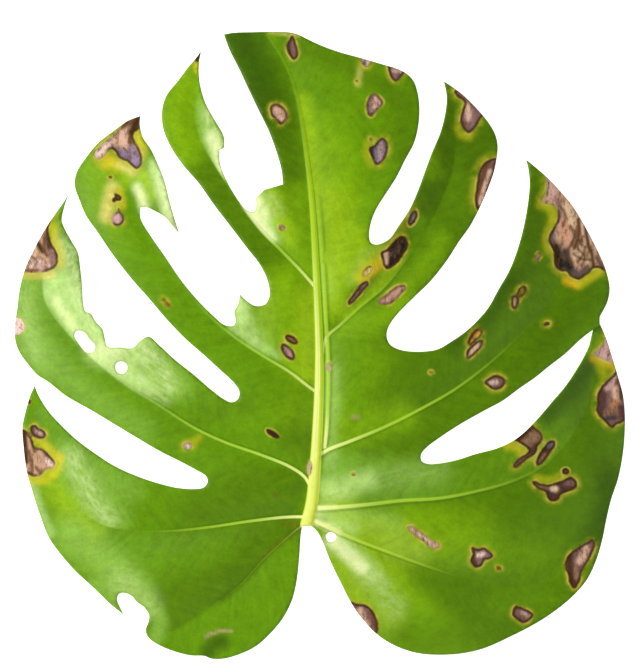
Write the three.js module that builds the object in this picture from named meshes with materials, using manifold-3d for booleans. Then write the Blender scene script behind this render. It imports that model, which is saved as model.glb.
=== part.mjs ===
// A split leaf, picked and laid face up on a flat surface.
// Millimetres, +Z up. +Y points from the stem end to the drip tip.
// The origin is on the surface, under the middle of the leaf.
import * as THREE from "three";
import { mergeVertices } from "three/addons/utils/BufferGeometryUtils.js";
import Module from "manifold-3d";

const wasm = await Module();
wasm.setup();

// Driving sizes.
const LEAF_WIDTH = 306;
const BLADE_THICKNESS = 0.6;
const CELL = 10.5;
const EDGE_STEP = 5.5;
const SHEET_WIDTH = LEAF_WIDTH + 2 * CELL;
const SHEET_LENGTH = LEAF_WIDTH + 3 * CELL;
const COLUMNS = Math.ceil(SHEET_WIDTH / CELL);
const ROWS = Math.ceil(SHEET_LENGTH / CELL);

// The crown is the arch of the whole leaf, highest near its middle.
const CROWN_HEIGHT = 22.5;
const CROWN_FALL = 27;
const CROWN_HALF_WIDTH = 160;
const CROWN_HALF_LENGTH = 165;
const CROWN_MIDDLE_Y = -12;

// The blade rises from each vein, so every vein lies in a shallow valley.
const VALLEY_DEPTH = 5;
const VALLEY_WIDTH = 12;
const VALLEY_ROUNDING = 2.5;
const FLOOR_SOFTNESS = 1;

// Places below are read on the photograph, in its pixels, and turned to millimetres by place().
const LEAF_WIDTH_IN_PHOTO = 612;
const LEAF_MIDDLE_IN_PHOTO = { x: 319.65, y: 345.3 };
const MM_PER_PIXEL = LEAF_WIDTH / LEAF_WIDTH_IN_PHOTO;

// The outline, clockwise from the drip tip. Each run is one smooth stretch between two corners.
const OUTLINE = {
  tipLobe: [
    [223.5, 33.5], [233, 31.8], [250, 31.2], [288, 31.2], [298, 33.6], [307, 38], [322, 45],
    [340, 51.5], [360, 57], [382, 63.5], [398, 68.5], [408, 74], [414, 81], [417.5, 91],
    [419.5, 106], [418.6, 124], [414, 143], [405, 160], [396.5, 177], [386, 193.5], [376, 209.5],
    [370.5, 224], [369, 237], [370.8, 243], [376, 244.9], [383, 243], [390, 238.5], [399, 225.5],
    [409, 210.5], [417.5, 192], [424.5, 173], [432, 153], [441, 131], [445.8, 111], [447, 96],
    [444.2, 80.5],
  ],
  upperRightLobe: [
    [444.2, 80.5], [451, 85], [463, 94], [477, 108], [488, 121], [495.5, 134], [498, 146],
    [497, 157], [494.5, 170], [489, 186], [480, 207], [470, 226], [459, 241.5], [446, 261.5],
    [430, 281.5], [412, 299], [396, 315.5], [388.5, 326.5], [386.4, 335], [389, 343.5],
    [397, 348.8], [410, 351.5], [427, 351.3], [438, 349], [451, 341.5], [466, 331], [480, 317.5],
    [488.5, 307], [498, 290], [509, 271], [517, 251], [523.5, 228], [528, 204], [530, 184],
    [529, 170], [526.5, 159],
  ],
  middleRightLobe: [
    [526.5, 159], [535, 166], [547, 176.5], [560, 190], [573, 205.5], [585, 225], [596, 246],
    [604, 263], [609, 279], [610.3, 290], [608, 302], [603.5, 311], [600.4, 317], [600.3, 325],
  ],
  lowerRightSlit: [
    [600.3, 325], [594.5, 329.2], [588, 333.6], [579, 341], [565, 354], [550, 365.5], [535, 377.5],
    [519, 388.5], [503, 400.3], [485, 410], [460, 424], [440, 437], [426, 447.5], [420.9, 454],
    [421.2, 460.5], [427, 463.6], [440, 463.2], [458, 459.5], [475, 454], [497, 448.2],
    [512, 441.3], [524, 432.5], [537, 419.3], [552, 402], [566, 385.5], [579, 366], [588, 349.5],
    [592.8, 337.5], [596, 331], [601.8, 326.8],
  ],
  lowerRightLobe: [
    [601.8, 326.8], [607, 339], [612.5, 356], [618.5, 376], [623.5, 394], [625.6, 412],
    [625.5, 435], [623.5, 456], [619, 479], [612, 500], [607.5, 519], [603, 541], [597, 561],
    [588, 580], [575, 595.5], [558, 610], [537, 624], [512, 637], [485, 649], [464, 654],
    [440, 655.6], [418, 653.8], [398, 647.5], [380, 637], [366, 623.5], [353, 606], [341, 583],
    [330, 560], [323, 542], [317.5, 531.5], [311.5, 525.6],
  ],
  stemCut: [[311.5, 525.6], [302.3, 525.8]],
  lowerLeftLobe: [
    [302.3, 525.8], [300.8, 534], [299.3, 556], [296.8, 580], [292, 600], [283, 618], [270, 634],
    [256, 646.5], [240, 654.5], [223, 659.4], [211, 659.4], [204, 656.7], [190, 656.2],
    [172, 651.6], [155, 644], [147, 637], [145.3, 630], [148.3, 622], [148.6, 615], [143.5, 607.5],
    [136.5, 602.5], [131.5, 596.5], [124, 593.3], [118.5, 594.5], [116.5, 600], [119, 607],
    [123.6, 615.8],
  ],
  lowerLeftMargin: [
    [123.6, 615.8], [110, 605], [93, 588.5], [75, 572], [60, 555], [48, 538], [39, 515],
    [32.5, 495], [26, 472], [22.6, 446], [21.6, 428], [24.5, 413], [29, 397.5], [34, 385.8],
  ],
  lowerLeftSlit: [
    [34, 385.8], [39, 397.5], [48, 411.5], [60, 424.5], [76, 439.5], [95, 453.5], [115, 466.2],
    [138, 476.4], [158, 483], [175, 487.2], [194, 488.8], [204, 487], [208, 481], [206, 475.6],
    [196, 469.5], [180, 461], [160, 451], [136, 437], [112, 422.6], [90, 409.5], [66, 396],
    [48, 382], [37, 375], [28, 365], [19.5, 353.5], [14.8, 342], [13.8, 328], [16.4, 308],
    [19, 288], [24.5, 268], [33, 249.5], [43, 231], [53, 215.5], [61, 204.5], [65.5, 197.5],
    [70, 189],
  ],
  outerLeftLobe: [
    [70, 189], [66.5, 198], [63.2, 208], [61, 220], [64, 228.5], [71, 241], [77.5, 252.5],
    [80, 268], [81.8, 284], [83, 303], [85, 311], [91, 314], [95.5, 321.5], [102.5, 329.5],
    [105, 339], [107.5, 346.5], [120, 347.4], [132.5, 348], [140, 341.3], [149, 336.6],
    [160, 345.5], [175, 359.5], [195, 375.5], [213, 391], [225, 399.6], [232, 402.2],
    [238.3, 398.8], [239.7, 391.5], [234.5, 383], [219, 368.5], [203, 353.8], [187, 340],
    [168, 320.5], [150, 299.5], [131, 278], [112, 253.5], [97, 231.5], [86, 216], [79, 200],
    [74, 184.5], [76, 172], [85, 157.5], [97, 142.8], [112, 131], [127, 120.3], [139.8, 115.3],
  ],
  upperLeftLobeInner: [
    [139.8, 115.3], [139.2, 124], [142.5, 137], [150.5, 149], [158, 165], [165, 183], [168.6, 198],
    [173, 213.5], [179.5, 234],
  ],
  spikeUnderside: [
    [179.5, 234], [173, 226.5], [165.5, 217.5], [154, 210.5], [146, 207], [140.3, 207.2],
  ],
  upperLeftSlit: [
    [140.3, 207.2], [140.3, 218], [150, 235], [165, 256.5], [181, 280], [198, 300.5],
    [216, 318.3], [224.5, 325], [234, 325.7], [236, 320.5], [234.6, 311.5], [238.5, 304],
    [240, 294.2],
  ],
  topLeftLobe: [
    [240, 294.2], [247, 301], [256, 306], [265.5, 304.2], [269.7, 295.5], [267.8, 281],
    [260.5, 265.5], [247, 248], [231, 227], [213, 203.5], [199, 183.5], [183, 165], [170, 145.5],
    [162.8, 127.5], [161.7, 110], [166, 95], [178, 79.5], [188, 66], [195, 58], [200.7, 50.3],
  ],
  topLeftLobeInner: [
    [200.7, 50.3], [198.6, 62], [199, 80], [204.5, 101], [214, 119], [223.5, 136], [224.2, 147.6],
  ],
  tornEdge: [[224.2, 147.6], [219.4, 150]],
  topSlit: [
    [219.4, 150], [220, 164], [227, 181.5], [238, 200], [247, 210.5], [254, 211.8], [256.7, 206],
    [255.4, 198.6],
  ],
  tornCorner: [[255.4, 198.6], [261.5, 197.8], [264.6, 189.9]],
  tornLedge: [[264.6, 189.9], [276, 189.4], [283, 184.4]],
  tipLobeInner: [
    [283, 184.4], [281.5, 170], [276, 150.5], [269, 131.5], [259, 111], [249, 90], [239, 68.5],
    [229.5, 49.5], [223.5, 33.5],
  ],
};

const HOLES = {
  leftLong: [[76, 331], [84, 332], [89.5, 339], [95, 346], [92.5, 352.4], [86, 352.3], [79, 344.5], [74, 336]],
  leftSmall: [[116, 363.5], [122.5, 361.4], [127.5, 365], [126.5, 371.7], [121, 374.3], [116, 370.5]],
  base: [[325.8, 535], [331, 531.8], [336.3, 535.5], [334.5, 540.7], [328.5, 541.6]],
};

// Each vein runs from its root to its end. The valley is its share of the valley's depth at the two
// ends, and the radii are half the width there of the rib that it has on the underside, if any.
const VEINS = {
  midrib: {
    route: [
      [307, 524.2], [312.5, 502], [315, 470], [318, 430], [320, 390], [320.5, 350], [318.5, 310],
      [315.5, 262], [312, 205], [306, 152], [300.5, 115], [294, 86], [281.5, 56], [268, 36],
    ],
    radii: [3.4, 0.5],
    valley: [1, 0.5],
  },
  tipRight: {
    route: [[316.5, 275], [333, 245], [347, 218], [360, 193], [373, 167], [387, 138], [397, 106]],
    valley: [0.35, 0.25],
  },
  topLeft: {
    route: [
      [315, 287], [300, 270], [280, 249.5], [262, 232], [240, 204], [218, 170], [201, 142],
      [194, 118], [195, 95], [197, 74],
    ],
    radii: [1.3, 0.4],
    valley: [0.8, 0.5],
  },
  upperLeft: {
    route: [
      [318, 393], [308, 386], [290, 372], [260, 354], [230, 333.5], [200, 306], [175, 272],
      [150, 236], [136, 203], [127, 177], [128, 150], [134, 130],
    ],
    radii: [1.5, 0.4],
    valley: [0.8, 0.5],
  },
  outerLeft: {
    route: [
      [311, 488], [305, 477], [290, 466.5], [262, 455], [225, 442], [195, 428], [160, 406],
      [125, 385], [95, 361], [65, 331], [45, 303], [42, 278], [50, 245], [59, 220],
    ],
    radii: [1.5, 0.4],
    valley: [0.9, 0.6],
  },
  lowerLeft: {
    route: [
      [309, 516.5], [285, 517], [250, 521], [210, 527], [170, 531], [130, 530.5], [100, 524],
      [73, 505], [54, 474], [42, 440], [36, 410],
    ],
    radii: [1.5, 0.4],
    valley: [0.9, 0.5],
  },
  baseLeft: {
    route: [[306, 522], [290, 535], [264, 559], [240, 585], [216, 604], [190, 622], [174, 631]],
    valley: [0.7, 0.3],
  },
  upperRight: {
    route: [
      [322, 356], [326, 338], [340, 325], [360, 307], [385, 286], [404, 262], [424, 232],
      [440, 203], [452, 172], [456, 140], [454, 112], [448, 93],
    ],
    radii: [1.4, 0.4],
    valley: [0.8, 0.5],
  },
  middleRight: {
    route: [
      [318, 456], [328, 449.5], [350, 441], [385, 426.5], [420, 409], [455, 389], [490, 362.5],
      [520, 335], [546, 310], [559, 280], [557, 248], [546, 210], [534, 178],
    ],
    radii: [1.5, 0.4],
    valley: [0.9, 0.5],
  },
  lowerRight: {
    route: [
      [314, 508], [330, 507.5], [365, 504.5], [400, 500.5], [440, 498], [475, 491.5], [510, 482],
      [540, 468], [567, 443], [586, 410], [596, 370], [599, 345],
    ],
    radii: [1.6, 0.4],
    valley: [0.9, 0.5],
  },
  baseRight: {
    route: [
      [313, 520], [325, 525.5], [355, 539], [390, 552.5], [425, 565.5], [460, 577], [500, 584.5],
      [535, 583], [565, 571],
    ],
    radii: [1.5, 0.4],
    valley: [0.9, 0.4],
  },
  sinusRight: {
    route: [[315, 527.5], [325, 541], [345, 566], [364, 589], [388, 611], [412, 626]],
    valley: [0.6, 0.3],
  },
};
const RIB_STEP = 14;
const RIB_SIDES = 6;
const RIB_FLATNESS = 0.62;
const RIB_SINK = 0.6;

// A point of the photograph as a point of the leaf.
function place([x, y]) {
  return new THREE.Vector2(
    (x - LEAF_MIDDLE_IN_PHOTO.x) * MM_PER_PIXEL,
    (LEAF_MIDDLE_IN_PHOTO.y - y) * MM_PER_PIXEL,
  );
}

// A smooth plan curve through the points, as a list of evenly spaced places.
function smoothLine(points, step, closed = false) {
  const through = points.map(place).map((p) => new THREE.Vector3(p.x, p.y, 0));
  const curve = new THREE.CatmullRomCurve3(through, closed, "centripetal");
  const count = Math.max(1, Math.round(curve.getLength() / step));
  return curve.getSpacedPoints(count).map((p) => new THREE.Vector2(p.x, p.y));
}

const veinLines = Object.values(VEINS).map((vein) => ({
  line: smoothLine(vein.route, CELL),
  valley: vein.valley,
}));

// How close a place is to a vein, as its share of the valley there.
function nearness(x, y, { line, valley }) {
  let best = 0;
  for (let i = 1; i < line.length; i++) {
    const from = line[i - 1];
    const dx = line[i].x - from.x;
    const dy = line[i].y - from.y;
    const along = ((x - from.x) * dx + (y - from.y) * dy) / (dx * dx + dy * dy);
    const t = Math.min(1, Math.max(0, along));
    const distance = Math.hypot(x - from.x - t * dx, y - from.y - t * dy);
    const share = THREE.MathUtils.lerp(valley[0], valley[1], (i - 1 + t) / (line.length - 1));
    const rounded = Math.hypot(distance, VALLEY_ROUNDING) - VALLEY_ROUNDING;
    best = Math.max(best, share * Math.exp(-rounded / VALLEY_WIDTH));
  }
  return best;
}

// Height of the middle of the blade above the surface.
function bladeHeight(x, y) {
  const across = x / CROWN_HALF_WIDTH;
  const along = (y - CROWN_MIDDLE_Y) / CROWN_HALF_LENGTH;
  const crown = CROWN_HEIGHT - CROWN_FALL * (across ** 2 + along ** 2);
  const cubes = veinLines.reduce((sum, vein) => sum + nearness(x, y, vein) ** 3, 0);
  const rise = VALLEY_DEPTH * (1 - Math.min(1, Math.cbrt(cubes)));
  const raw = crown + rise;
  return BLADE_THICKNESS / 2 + (raw + Math.hypot(raw, FLOOR_SOFTNESS)) / 2;
}

// A closed surface as a solid that can be joined and cut.
function solidOf(geometry) {
  const bare = geometry.index ? geometry.toNonIndexed() : geometry;
  const positions = new THREE.BufferGeometry();
  positions.setAttribute("position", bare.getAttribute("position"));
  const merged = mergeVertices(positions, 1e-4);
  return new wasm.Manifold(
    new wasm.Mesh({
      numProp: 3,
      vertProperties: merged.attributes.position.array,
      triVerts: new Uint32Array(merged.index.array),
    }),
  );
}

function geometryOf(solid) {
  const mesh = solid.getMesh();
  const geometry = new THREE.BufferGeometry();
  geometry.setAttribute("position", new THREE.BufferAttribute(mesh.vertProperties, 3));
  geometry.setIndex(new THREE.BufferAttribute(mesh.triVerts, 1));
  const flat = geometry.toNonIndexed();
  flat.computeVertexNormals();
  return flat;
}

// A flat block of cells, lifted to the blade's height: its top and bottom have the same facets.
function curvedSheet() {
  const size = [SHEET_WIDTH, SHEET_LENGTH, BLADE_THICKNESS];
  const block = new THREE.BoxGeometry(...size, COLUMNS, ROWS, 1);
  const position = block.attributes.position;
  for (let i = 0; i < position.count; i++) {
    const height = bladeHeight(position.getX(i), position.getY(i));
    position.setZ(i, position.getZ(i) + height);
  }
  return solidOf(matchDiagonals(block));
}

// Splits the cells of the block's underside along the same diagonals as those of its top.
function matchDiagonals(block) {
  const underside = block.groups[5];
  const index = block.index.array;
  for (let cell = 0; cell < COLUMNS * ROWS; cell++) {
    const at = underside.start + cell * 6;
    const [a, b, d, , c] = index.slice(at, at + 6);
    index.set([a, b, c, a, c, d], at);
  }
  return block;
}

// Height of the middle of the faceted sheet, whose cells are split from lower left to upper right.
function sheetHeight(x, y) {
  const across = (x / SHEET_WIDTH + 0.5) * COLUMNS;
  const along = (y / SHEET_LENGTH + 0.5) * ROWS;
  const column = Math.floor(across);
  const row = Math.floor(along);
  const corner = (right, up) => bladeHeight(
    ((column + right) / COLUMNS - 0.5) * SHEET_WIDTH,
    ((row + up) / ROWS - 0.5) * SHEET_LENGTH,
  );
  const isLower = across - column > along - row;
  const low = corner(0, 0);
  const turn = isLower ? corner(1, 0) : corner(0, 1);
  const high = corner(1, 1);
  const first = Math.max(across - column, along - row);
  const second = Math.min(across - column, along - row);
  return low + (turn - low) * first + (high - turn) * second;
}

// The outline with its holes, as a block that stands through the sheet.
function outlineBlock(height) {
  const edge = Object.values(OUTLINE).flatMap((run) => smoothLine(run, EDGE_STEP).slice(1));
  const shape = new THREE.Shape(edge);
  for (const hole of Object.values(HOLES)) {
    const rim = smoothLine(hole, EDGE_STEP / 2, true).slice(1);
    shape.holes.push(new THREE.Path(rim.reverse()));
  }
  const block = new THREE.ExtrudeGeometry(shape, { depth: height, bevelEnabled: false });
  return solidOf(block.translate(0, 0, -height / 4));
}

// A rib is a round tapering rod, bent along its vein and sunk under the blade.
function rib({ route, radii }) {
  const line = smoothLine(route, RIB_STEP);
  const steps = line.length - 1;
  const profile = [new THREE.Vector2(0, 0)];
  for (let i = 0; i <= steps; i++) {
    profile.push(new THREE.Vector2(THREE.MathUtils.lerp(radii[0], radii[1], i / steps), i));
  }
  profile.push(new THREE.Vector2(0, steps));
  const rod = new THREE.LatheGeometry(profile, RIB_SIDES);
  const position = rod.attributes.position;
  for (let i = 0; i < position.count; i++) {
    const step = Math.round(position.getY(i));
    const from = line[Math.max(0, step - 1)];
    const to = line[Math.min(steps, step + 1)];
    const ahead = new THREE.Vector2().subVectors(to, from).normalize();
    const side = position.getX(i);
    const radius = THREE.MathUtils.lerp(radii[0], radii[1], step / steps);
    const x = line[step].x + ahead.y * side;
    const y = line[step].y - ahead.x * side;
    const middle = sheetHeight(line[step].x, line[step].y) - RIB_SINK * radius;
    position.setXYZ(i, x, y, Math.max(0, middle + RIB_FLATNESS * position.getZ(i)));
  }
  return solidOf(rod);
}

// The leaf is one grown piece: its blade, cut to the outline, and the ribs under its veins.
function leaf() {
  let body = curvedSheet().intersect(outlineBlock(4 * (CROWN_HEIGHT + VALLEY_DEPTH)));
  for (const vein of Object.values(VEINS).filter((one) => one.radii)) {
    body = body.add(rib(vein));
  }
  const green = new THREE.MeshStandardMaterial({ color: 0x5b9a1e, roughness: 0.42, metalness: 0 });
  const mesh = new THREE.Mesh(geometryOf(body), green);
  mesh.name = "leaf";
  return mesh;
}

const part = new THREE.Group();
part.add(leaf());

export default part;
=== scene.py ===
import math

import bpy
import numpy as np
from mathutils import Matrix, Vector, kdtree
from mathutils.geometry import delaunay_2d_cdt


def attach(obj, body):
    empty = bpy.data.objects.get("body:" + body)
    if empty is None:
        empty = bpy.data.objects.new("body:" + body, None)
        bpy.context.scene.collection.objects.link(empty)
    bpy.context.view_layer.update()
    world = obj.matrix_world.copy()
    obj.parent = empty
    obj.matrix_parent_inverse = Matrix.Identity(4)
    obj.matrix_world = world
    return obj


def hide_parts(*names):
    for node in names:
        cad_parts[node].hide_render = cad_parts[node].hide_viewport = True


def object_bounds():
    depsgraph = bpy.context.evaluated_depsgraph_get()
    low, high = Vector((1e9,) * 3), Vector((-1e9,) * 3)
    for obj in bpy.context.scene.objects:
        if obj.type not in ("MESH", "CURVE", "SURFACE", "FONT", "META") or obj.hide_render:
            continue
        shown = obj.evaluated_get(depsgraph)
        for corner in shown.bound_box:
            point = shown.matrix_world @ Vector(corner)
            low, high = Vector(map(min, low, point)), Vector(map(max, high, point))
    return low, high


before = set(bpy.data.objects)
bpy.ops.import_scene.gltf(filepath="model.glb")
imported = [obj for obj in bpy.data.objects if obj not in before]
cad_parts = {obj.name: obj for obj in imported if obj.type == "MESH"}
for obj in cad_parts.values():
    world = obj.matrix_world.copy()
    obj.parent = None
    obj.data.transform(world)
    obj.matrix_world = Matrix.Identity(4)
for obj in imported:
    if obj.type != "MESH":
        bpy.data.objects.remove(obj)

# A split leaf, picked and laid face up. The plan is worked out in millimetres, and the meshes are in metres.
cad_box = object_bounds()
METRES = 0.001

# Places are read on the photograph, in its pixels, and turned to millimetres by place().
MM_PER_PIXEL = 0.5
LEAF_MIDDLE_IN_PHOTO = (319.65, 345.3)
PHOTO_MIDDLE = (320, 335.5)
PHOTO_HEIGHT = 671

# The arch of the leaf and the valleys of its veins, as in the solid. The lower face stays just above the
# surface that the leaf lies on, and the upper face just under the solid's highest place.
CROWN_HEIGHT = 22.5
CROWN_FALL = 27
CROWN_HALF_WIDTH = 160
CROWN_HALF_LENGTH = 165
CROWN_MIDDLE_Y = -12
VALLEY_DEPTH = 5
VALLEY_WIDTH = 12
VALLEY_ROUNDING = 2.5
FLOOR_SOFTNESS = 1
TOP_ABOVE_MIDDLE = 0.3
LOWEST = 0.02
HEADROOM = 0.05
HIGHEST = cad_box[1][2] / METRES - HEADROOM

# The fine shape of the blade: its thickness in the middle and at the rim, and how wide the thin rim is. The
# height of the ridges along the veins is a share of a half width, and so is the spread of the ridges and of
# the ribs below. The dry spots are sunken, with a low lip.
BLADE = 0.5
RIM = 0.34
RIM_WIDTH = 2.5
RIDGE_SHARE = 0.34
RIDGE_SPREAD = 1.3
RIB_SPREAD = 1.25
SPOT_SINK = 0.22
SPOT_LIP = 0.4 * SPOT_SINK

# Ripples: height, length and the two phases. Their rows run slantwise, and closer one way than the other.
RIPPLES = [
    (0.26, 31, 0.4, 1.1),
    (0.20, 23, 1.9, 0.3),
    (0.16, 17, 2.7, 2.2),
    (0.10, 12, 0.9, 4.0),
]
RIPPLE_SLANT_X = 0.6
RIPPLE_SLANT_Y = 0.4
RIPPLE_CROWDING = 1.3

# How far apart the corners of the mesh are, how close together those of two kinds may come, and how far
# round a dry spot they are fine.
EDGE_STEP = 1.0
SPOT_STEP = 0.8
FINE_STEP = 0.75
COARSE_STEP = 1.5
UNDER_STEP = 2.1
VEIN_STEP = 1.1
VEIN_GAP = 0.42
FINE_GAP = 0.5
COARSE_GAP = 0.95
UNDER_VEIN_GAP = 0.8
UNDER_GAP = 1.2
FINE_REACH = 1.2

# How closely curves are followed: points on a stretch of a curve and round an oval, and the steps along a
# vein and along a brush stroke.
CURVE_STEPS = 12
OVAL_POINTS = 12
VEIN_LINE_STEP = 3
STROKE_STEP = 2

# The lowest corner of the middle right lobe lies over the top of the lobe below it: the line between them in
# the photograph, the middle and reach of the change, the slide of the lower lobe, and the rise and the drop.
OVERLAP_LINE = [(575, 350), (586, 339.5), (594.3, 330.2), (601, 325.8), (608, 320)]
OVERLAP_MIDDLE = (598, 331)
OVERLAP_REACH = 9
OVERLAP_SHIFT = (-0.7, 1.6)
OVERLAP_RISE = 0.8
OVERLAP_DROP = 0.55

# How the tones spread, in millimetres: as far as a dry spot is read, as far as its stains go beyond its edge,
# from one side of a vein to the other, and from one vein's panels to the next.
SPOT_REACH = 12
STAIN_REACH = 2
SIDE_SOFTNESS = 0.4
PANEL_SOFTNESS = 5

# The share of the way in from which a stain is full, how much of a faded rim is gone, and the most half
# widths that a place is read as being from a vein.
PATCH_FULL = 0.8
RIM_FADE = 0.85
FAR = 12

# The grain leans back from each vein, and starts at another place along each.
GRAIN_SLANT = 0.84
GRAIN_SHIFT = 37

# The studio: sizes and distances in metres, and the power of each lamp in watts.
FLOOR_SIZE = 6
FLOOR_GLOW = 0.9
LIGHTS = {
    "window": dict(at=(-1.9, 0.5, 1.9), size=1.5, power=78),
    "fill_right": dict(at=(2.2, -0.5, 1.8), size=1.8, power=20),
    "fill_front": dict(at=(0.2, -2.4, 1.9), size=1.8, power=17),
}
WORLD_LIGHT = 0.16
CAMERA_DISTANCE = 4.0
CAMERA_AIM_HEIGHT = 0.013
CAMERA_CLIP = 50
SENSOR = 36

# The margin of the leaf in stretches, in order round it. The cut and the torn ones are straight.
OUTLINE = {
    "tip_lobe": [
        (223.5, 33.5), (233, 31.8), (250, 31.2), (288, 31.2), (298, 33.6), (307, 38), (322, 45),
        (340, 51.5), (360, 57), (382, 63.5), (398, 68.5), (408, 74), (414, 81), (417.5, 91),
        (419.5, 106), (418.6, 124), (414, 143), (405, 160), (396.5, 177), (386, 193.5), (376, 209.5),
        (370.5, 224), (369, 237), (370.8, 243), (376, 244.9), (383, 243), (390, 238.5), (399, 225.5),
        (409, 210.5), (417.5, 192), (424.5, 173), (432, 153), (441, 131), (445.8, 111), (447, 96),
        (444.2, 80.5),
    ],
    "upper_right_lobe": [
        (444.2, 80.5), (451, 85), (463, 94), (477, 108), (488, 121), (495.5, 134), (498, 146),
        (497, 157), (494.5, 170), (489, 186), (480, 207), (470, 226), (459, 241.5), (446, 261.5),
        (430, 281.5), (412, 299), (396, 315.5), (388.5, 326.5), (386.4, 335), (389, 343.5),
        (397, 348.8), (410, 351.5), (427, 351.3), (438, 349), (451, 341.5), (466, 331), (480, 317.5),
        (488.5, 307), (498, 290), (509, 271), (517, 251), (523.5, 228), (528, 204), (530, 184),
        (529, 170), (526.5, 159),
    ],
    "middle_right_lobe": [
        (526.5, 159), (535, 166), (547, 176.5), (560, 190), (573, 205.5), (585, 225), (596, 246),
        (604, 263), (609, 279), (610.3, 290), (608, 302), (603.5, 311), (600.4, 317), (600.3, 325),
    ],
    "lower_right_slit": [
        (600.3, 325), (594.5, 329.2), (588, 333.6), (579, 341), (565, 354), (550, 365.5),
        (535, 377.5), (519, 388.5), (503, 400.3), (485, 410), (460, 424), (440, 437), (426, 447.5),
        (420.9, 454), (421.2, 460.5), (427, 463.6), (440, 463.2), (458, 459.5), (475, 454),
        (497, 448.2), (512, 441.3), (524, 432.5), (537, 419.3), (552, 402), (566, 385.5), (579, 366),
        (588, 349.5), (592.8, 337.5), (596, 331), (601.8, 326.8),
    ],
    "lower_right_lobe": [
        (601.8, 326.8), (607, 339), (612.5, 356), (618.5, 376), (623.5, 394), (625.6, 412),
        (625.5, 435), (623.5, 456), (619, 479), (612, 500), (607.5, 519), (603, 541), (597, 561),
        (588, 580), (575, 595.5), (558, 610), (537, 624), (512, 637), (485, 649), (464, 654),
        (440, 655.6), (418, 653.8), (398, 647.5), (380, 637), (366, 623.5), (353, 606), (341, 583),
        (330, 560), (323, 542), (317.5, 531.5), (311.5, 525.6),
    ],
    "stem_cut": [(311.5, 525.6), (302.3, 525.8)],
    "lower_left_lobe": [
        (302.3, 525.8), (300.8, 534), (299.3, 556), (296.8, 580), (292, 600), (283, 618), (270, 634),
        (256, 646.5), (240, 654.5), (223, 659.4), (211, 659.4), (204, 656.7), (190, 656.2),
        (172, 651.6), (155, 644), (147, 637), (145.3, 630), (148.3, 622), (148.6, 615),
        (143.5, 607.5), (136.5, 602.5), (131.5, 596.5), (124, 593.3), (118.5, 594.5), (116.5, 600),
        (119, 607), (123.6, 615.8),
    ],
    "lower_left_margin": [
        (123.6, 615.8), (110, 605), (93, 588.5), (75, 572), (60, 555), (48, 538), (39, 515),
        (32.5, 495), (26, 472), (22.6, 446), (21.6, 428), (24.5, 413), (29, 397.5), (34, 385.8),
    ],
    "lower_left_slit": [
        (34, 385.8), (39, 397.5), (48, 411.5), (60, 424.5), (76, 439.5), (95, 453.5), (115, 466.2),
        (138, 476.4), (158, 483), (175, 487.2), (194, 488.8), (204, 487), (208, 481), (206, 475.6),
        (196, 469.5), (180, 461), (160, 451), (136, 437), (112, 422.6), (90, 409.5), (66, 396),
        (48, 382), (37, 375), (28, 365), (19.5, 353.5), (14.8, 342), (13.8, 328), (16.4, 308),
        (19, 288), (24.5, 268), (33, 249.5), (43, 231), (53, 215.5), (61, 204.5), (65.5, 197.5),
        (70, 189),
    ],
    "outer_left_lobe": [
        (70, 189), (66.5, 198), (63.2, 208), (61, 220), (64, 228.5), (71, 241), (77.5, 252.5),
        (80, 268), (81.8, 284), (83, 303), (85, 311), (91, 314), (95.5, 321.5), (102.5, 329.5),
        (105, 339), (107.5, 346.5), (120, 347.4), (132.5, 348), (140, 341.3), (149, 336.6),
        (160, 345.5), (175, 359.5), (195, 375.5), (213, 391), (225, 399.6), (232, 402.2),
        (238.3, 398.8), (239.7, 391.5), (234.5, 383), (219, 368.5), (203, 353.8), (187, 340),
        (168, 320.5), (150, 299.5), (131, 278), (112, 253.5), (97, 231.5), (86, 216), (79, 200),
        (74, 184.5), (76, 172), (85, 157.5), (97, 142.8), (112, 131), (127, 120.3), (139.8, 115.3),
    ],
    "upper_left_lobe_inner": [
        (139.8, 115.3), (139.2, 124), (142.5, 137), (150.5, 149), (158, 165), (165, 183),
        (168.6, 198), (173, 213.5), (179.5, 234),
    ],
    "spike_underside": [
        (179.5, 234), (173, 226.5), (165.5, 217.5), (154, 210.5), (146, 207), (140.3, 207.2),
    ],
    "upper_left_slit": [
        (140.3, 207.2), (140.3, 218), (150, 235), (165, 256.5), (181, 280), (198, 300.5),
        (216, 318.3), (224.5, 325), (234, 325.7), (236, 320.5), (234.6, 311.5), (238.5, 304),
        (240, 294.2),
    ],
    "top_left_lobe": [
        (240, 294.2), (247, 301), (256, 306), (265.5, 304.2), (269.7, 295.5), (267.8, 281),
        (260.5, 265.5), (247, 248), (231, 227), (213, 203.5), (199, 183.5), (183, 165),
        (170, 145.5), (162.8, 127.5), (161.7, 110), (166, 95), (178, 79.5), (188, 66), (195, 58),
        (200.7, 50.3),
    ],
    "top_left_lobe_inner": [
        (200.7, 50.3), (198.6, 62), (199, 80), (204.5, 101), (214, 119), (223.5, 136), (224.2, 147.6),
    ],
    "torn_edge": [(224.2, 147.6), (219.4, 150)],
    "top_slit": [
        (219.4, 150), (220, 164), (227, 181.5), (238, 200), (247, 210.5), (254, 211.8), (256.7, 206),
        (255.4, 198.6),
    ],
    "torn_corner": [(255.4, 198.6), (264.6, 189.9)],
    "torn_ledge": [(264.6, 189.9), (283, 184.4)],
    "tip_lobe_inner": [
        (283, 184.4), (281.5, 170), (276, 150.5), (269, 131.5), (259, 111), (249, 90), (239, 68.5),
        (229.5, 49.5), (223.5, 33.5),
    ],
}

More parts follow.
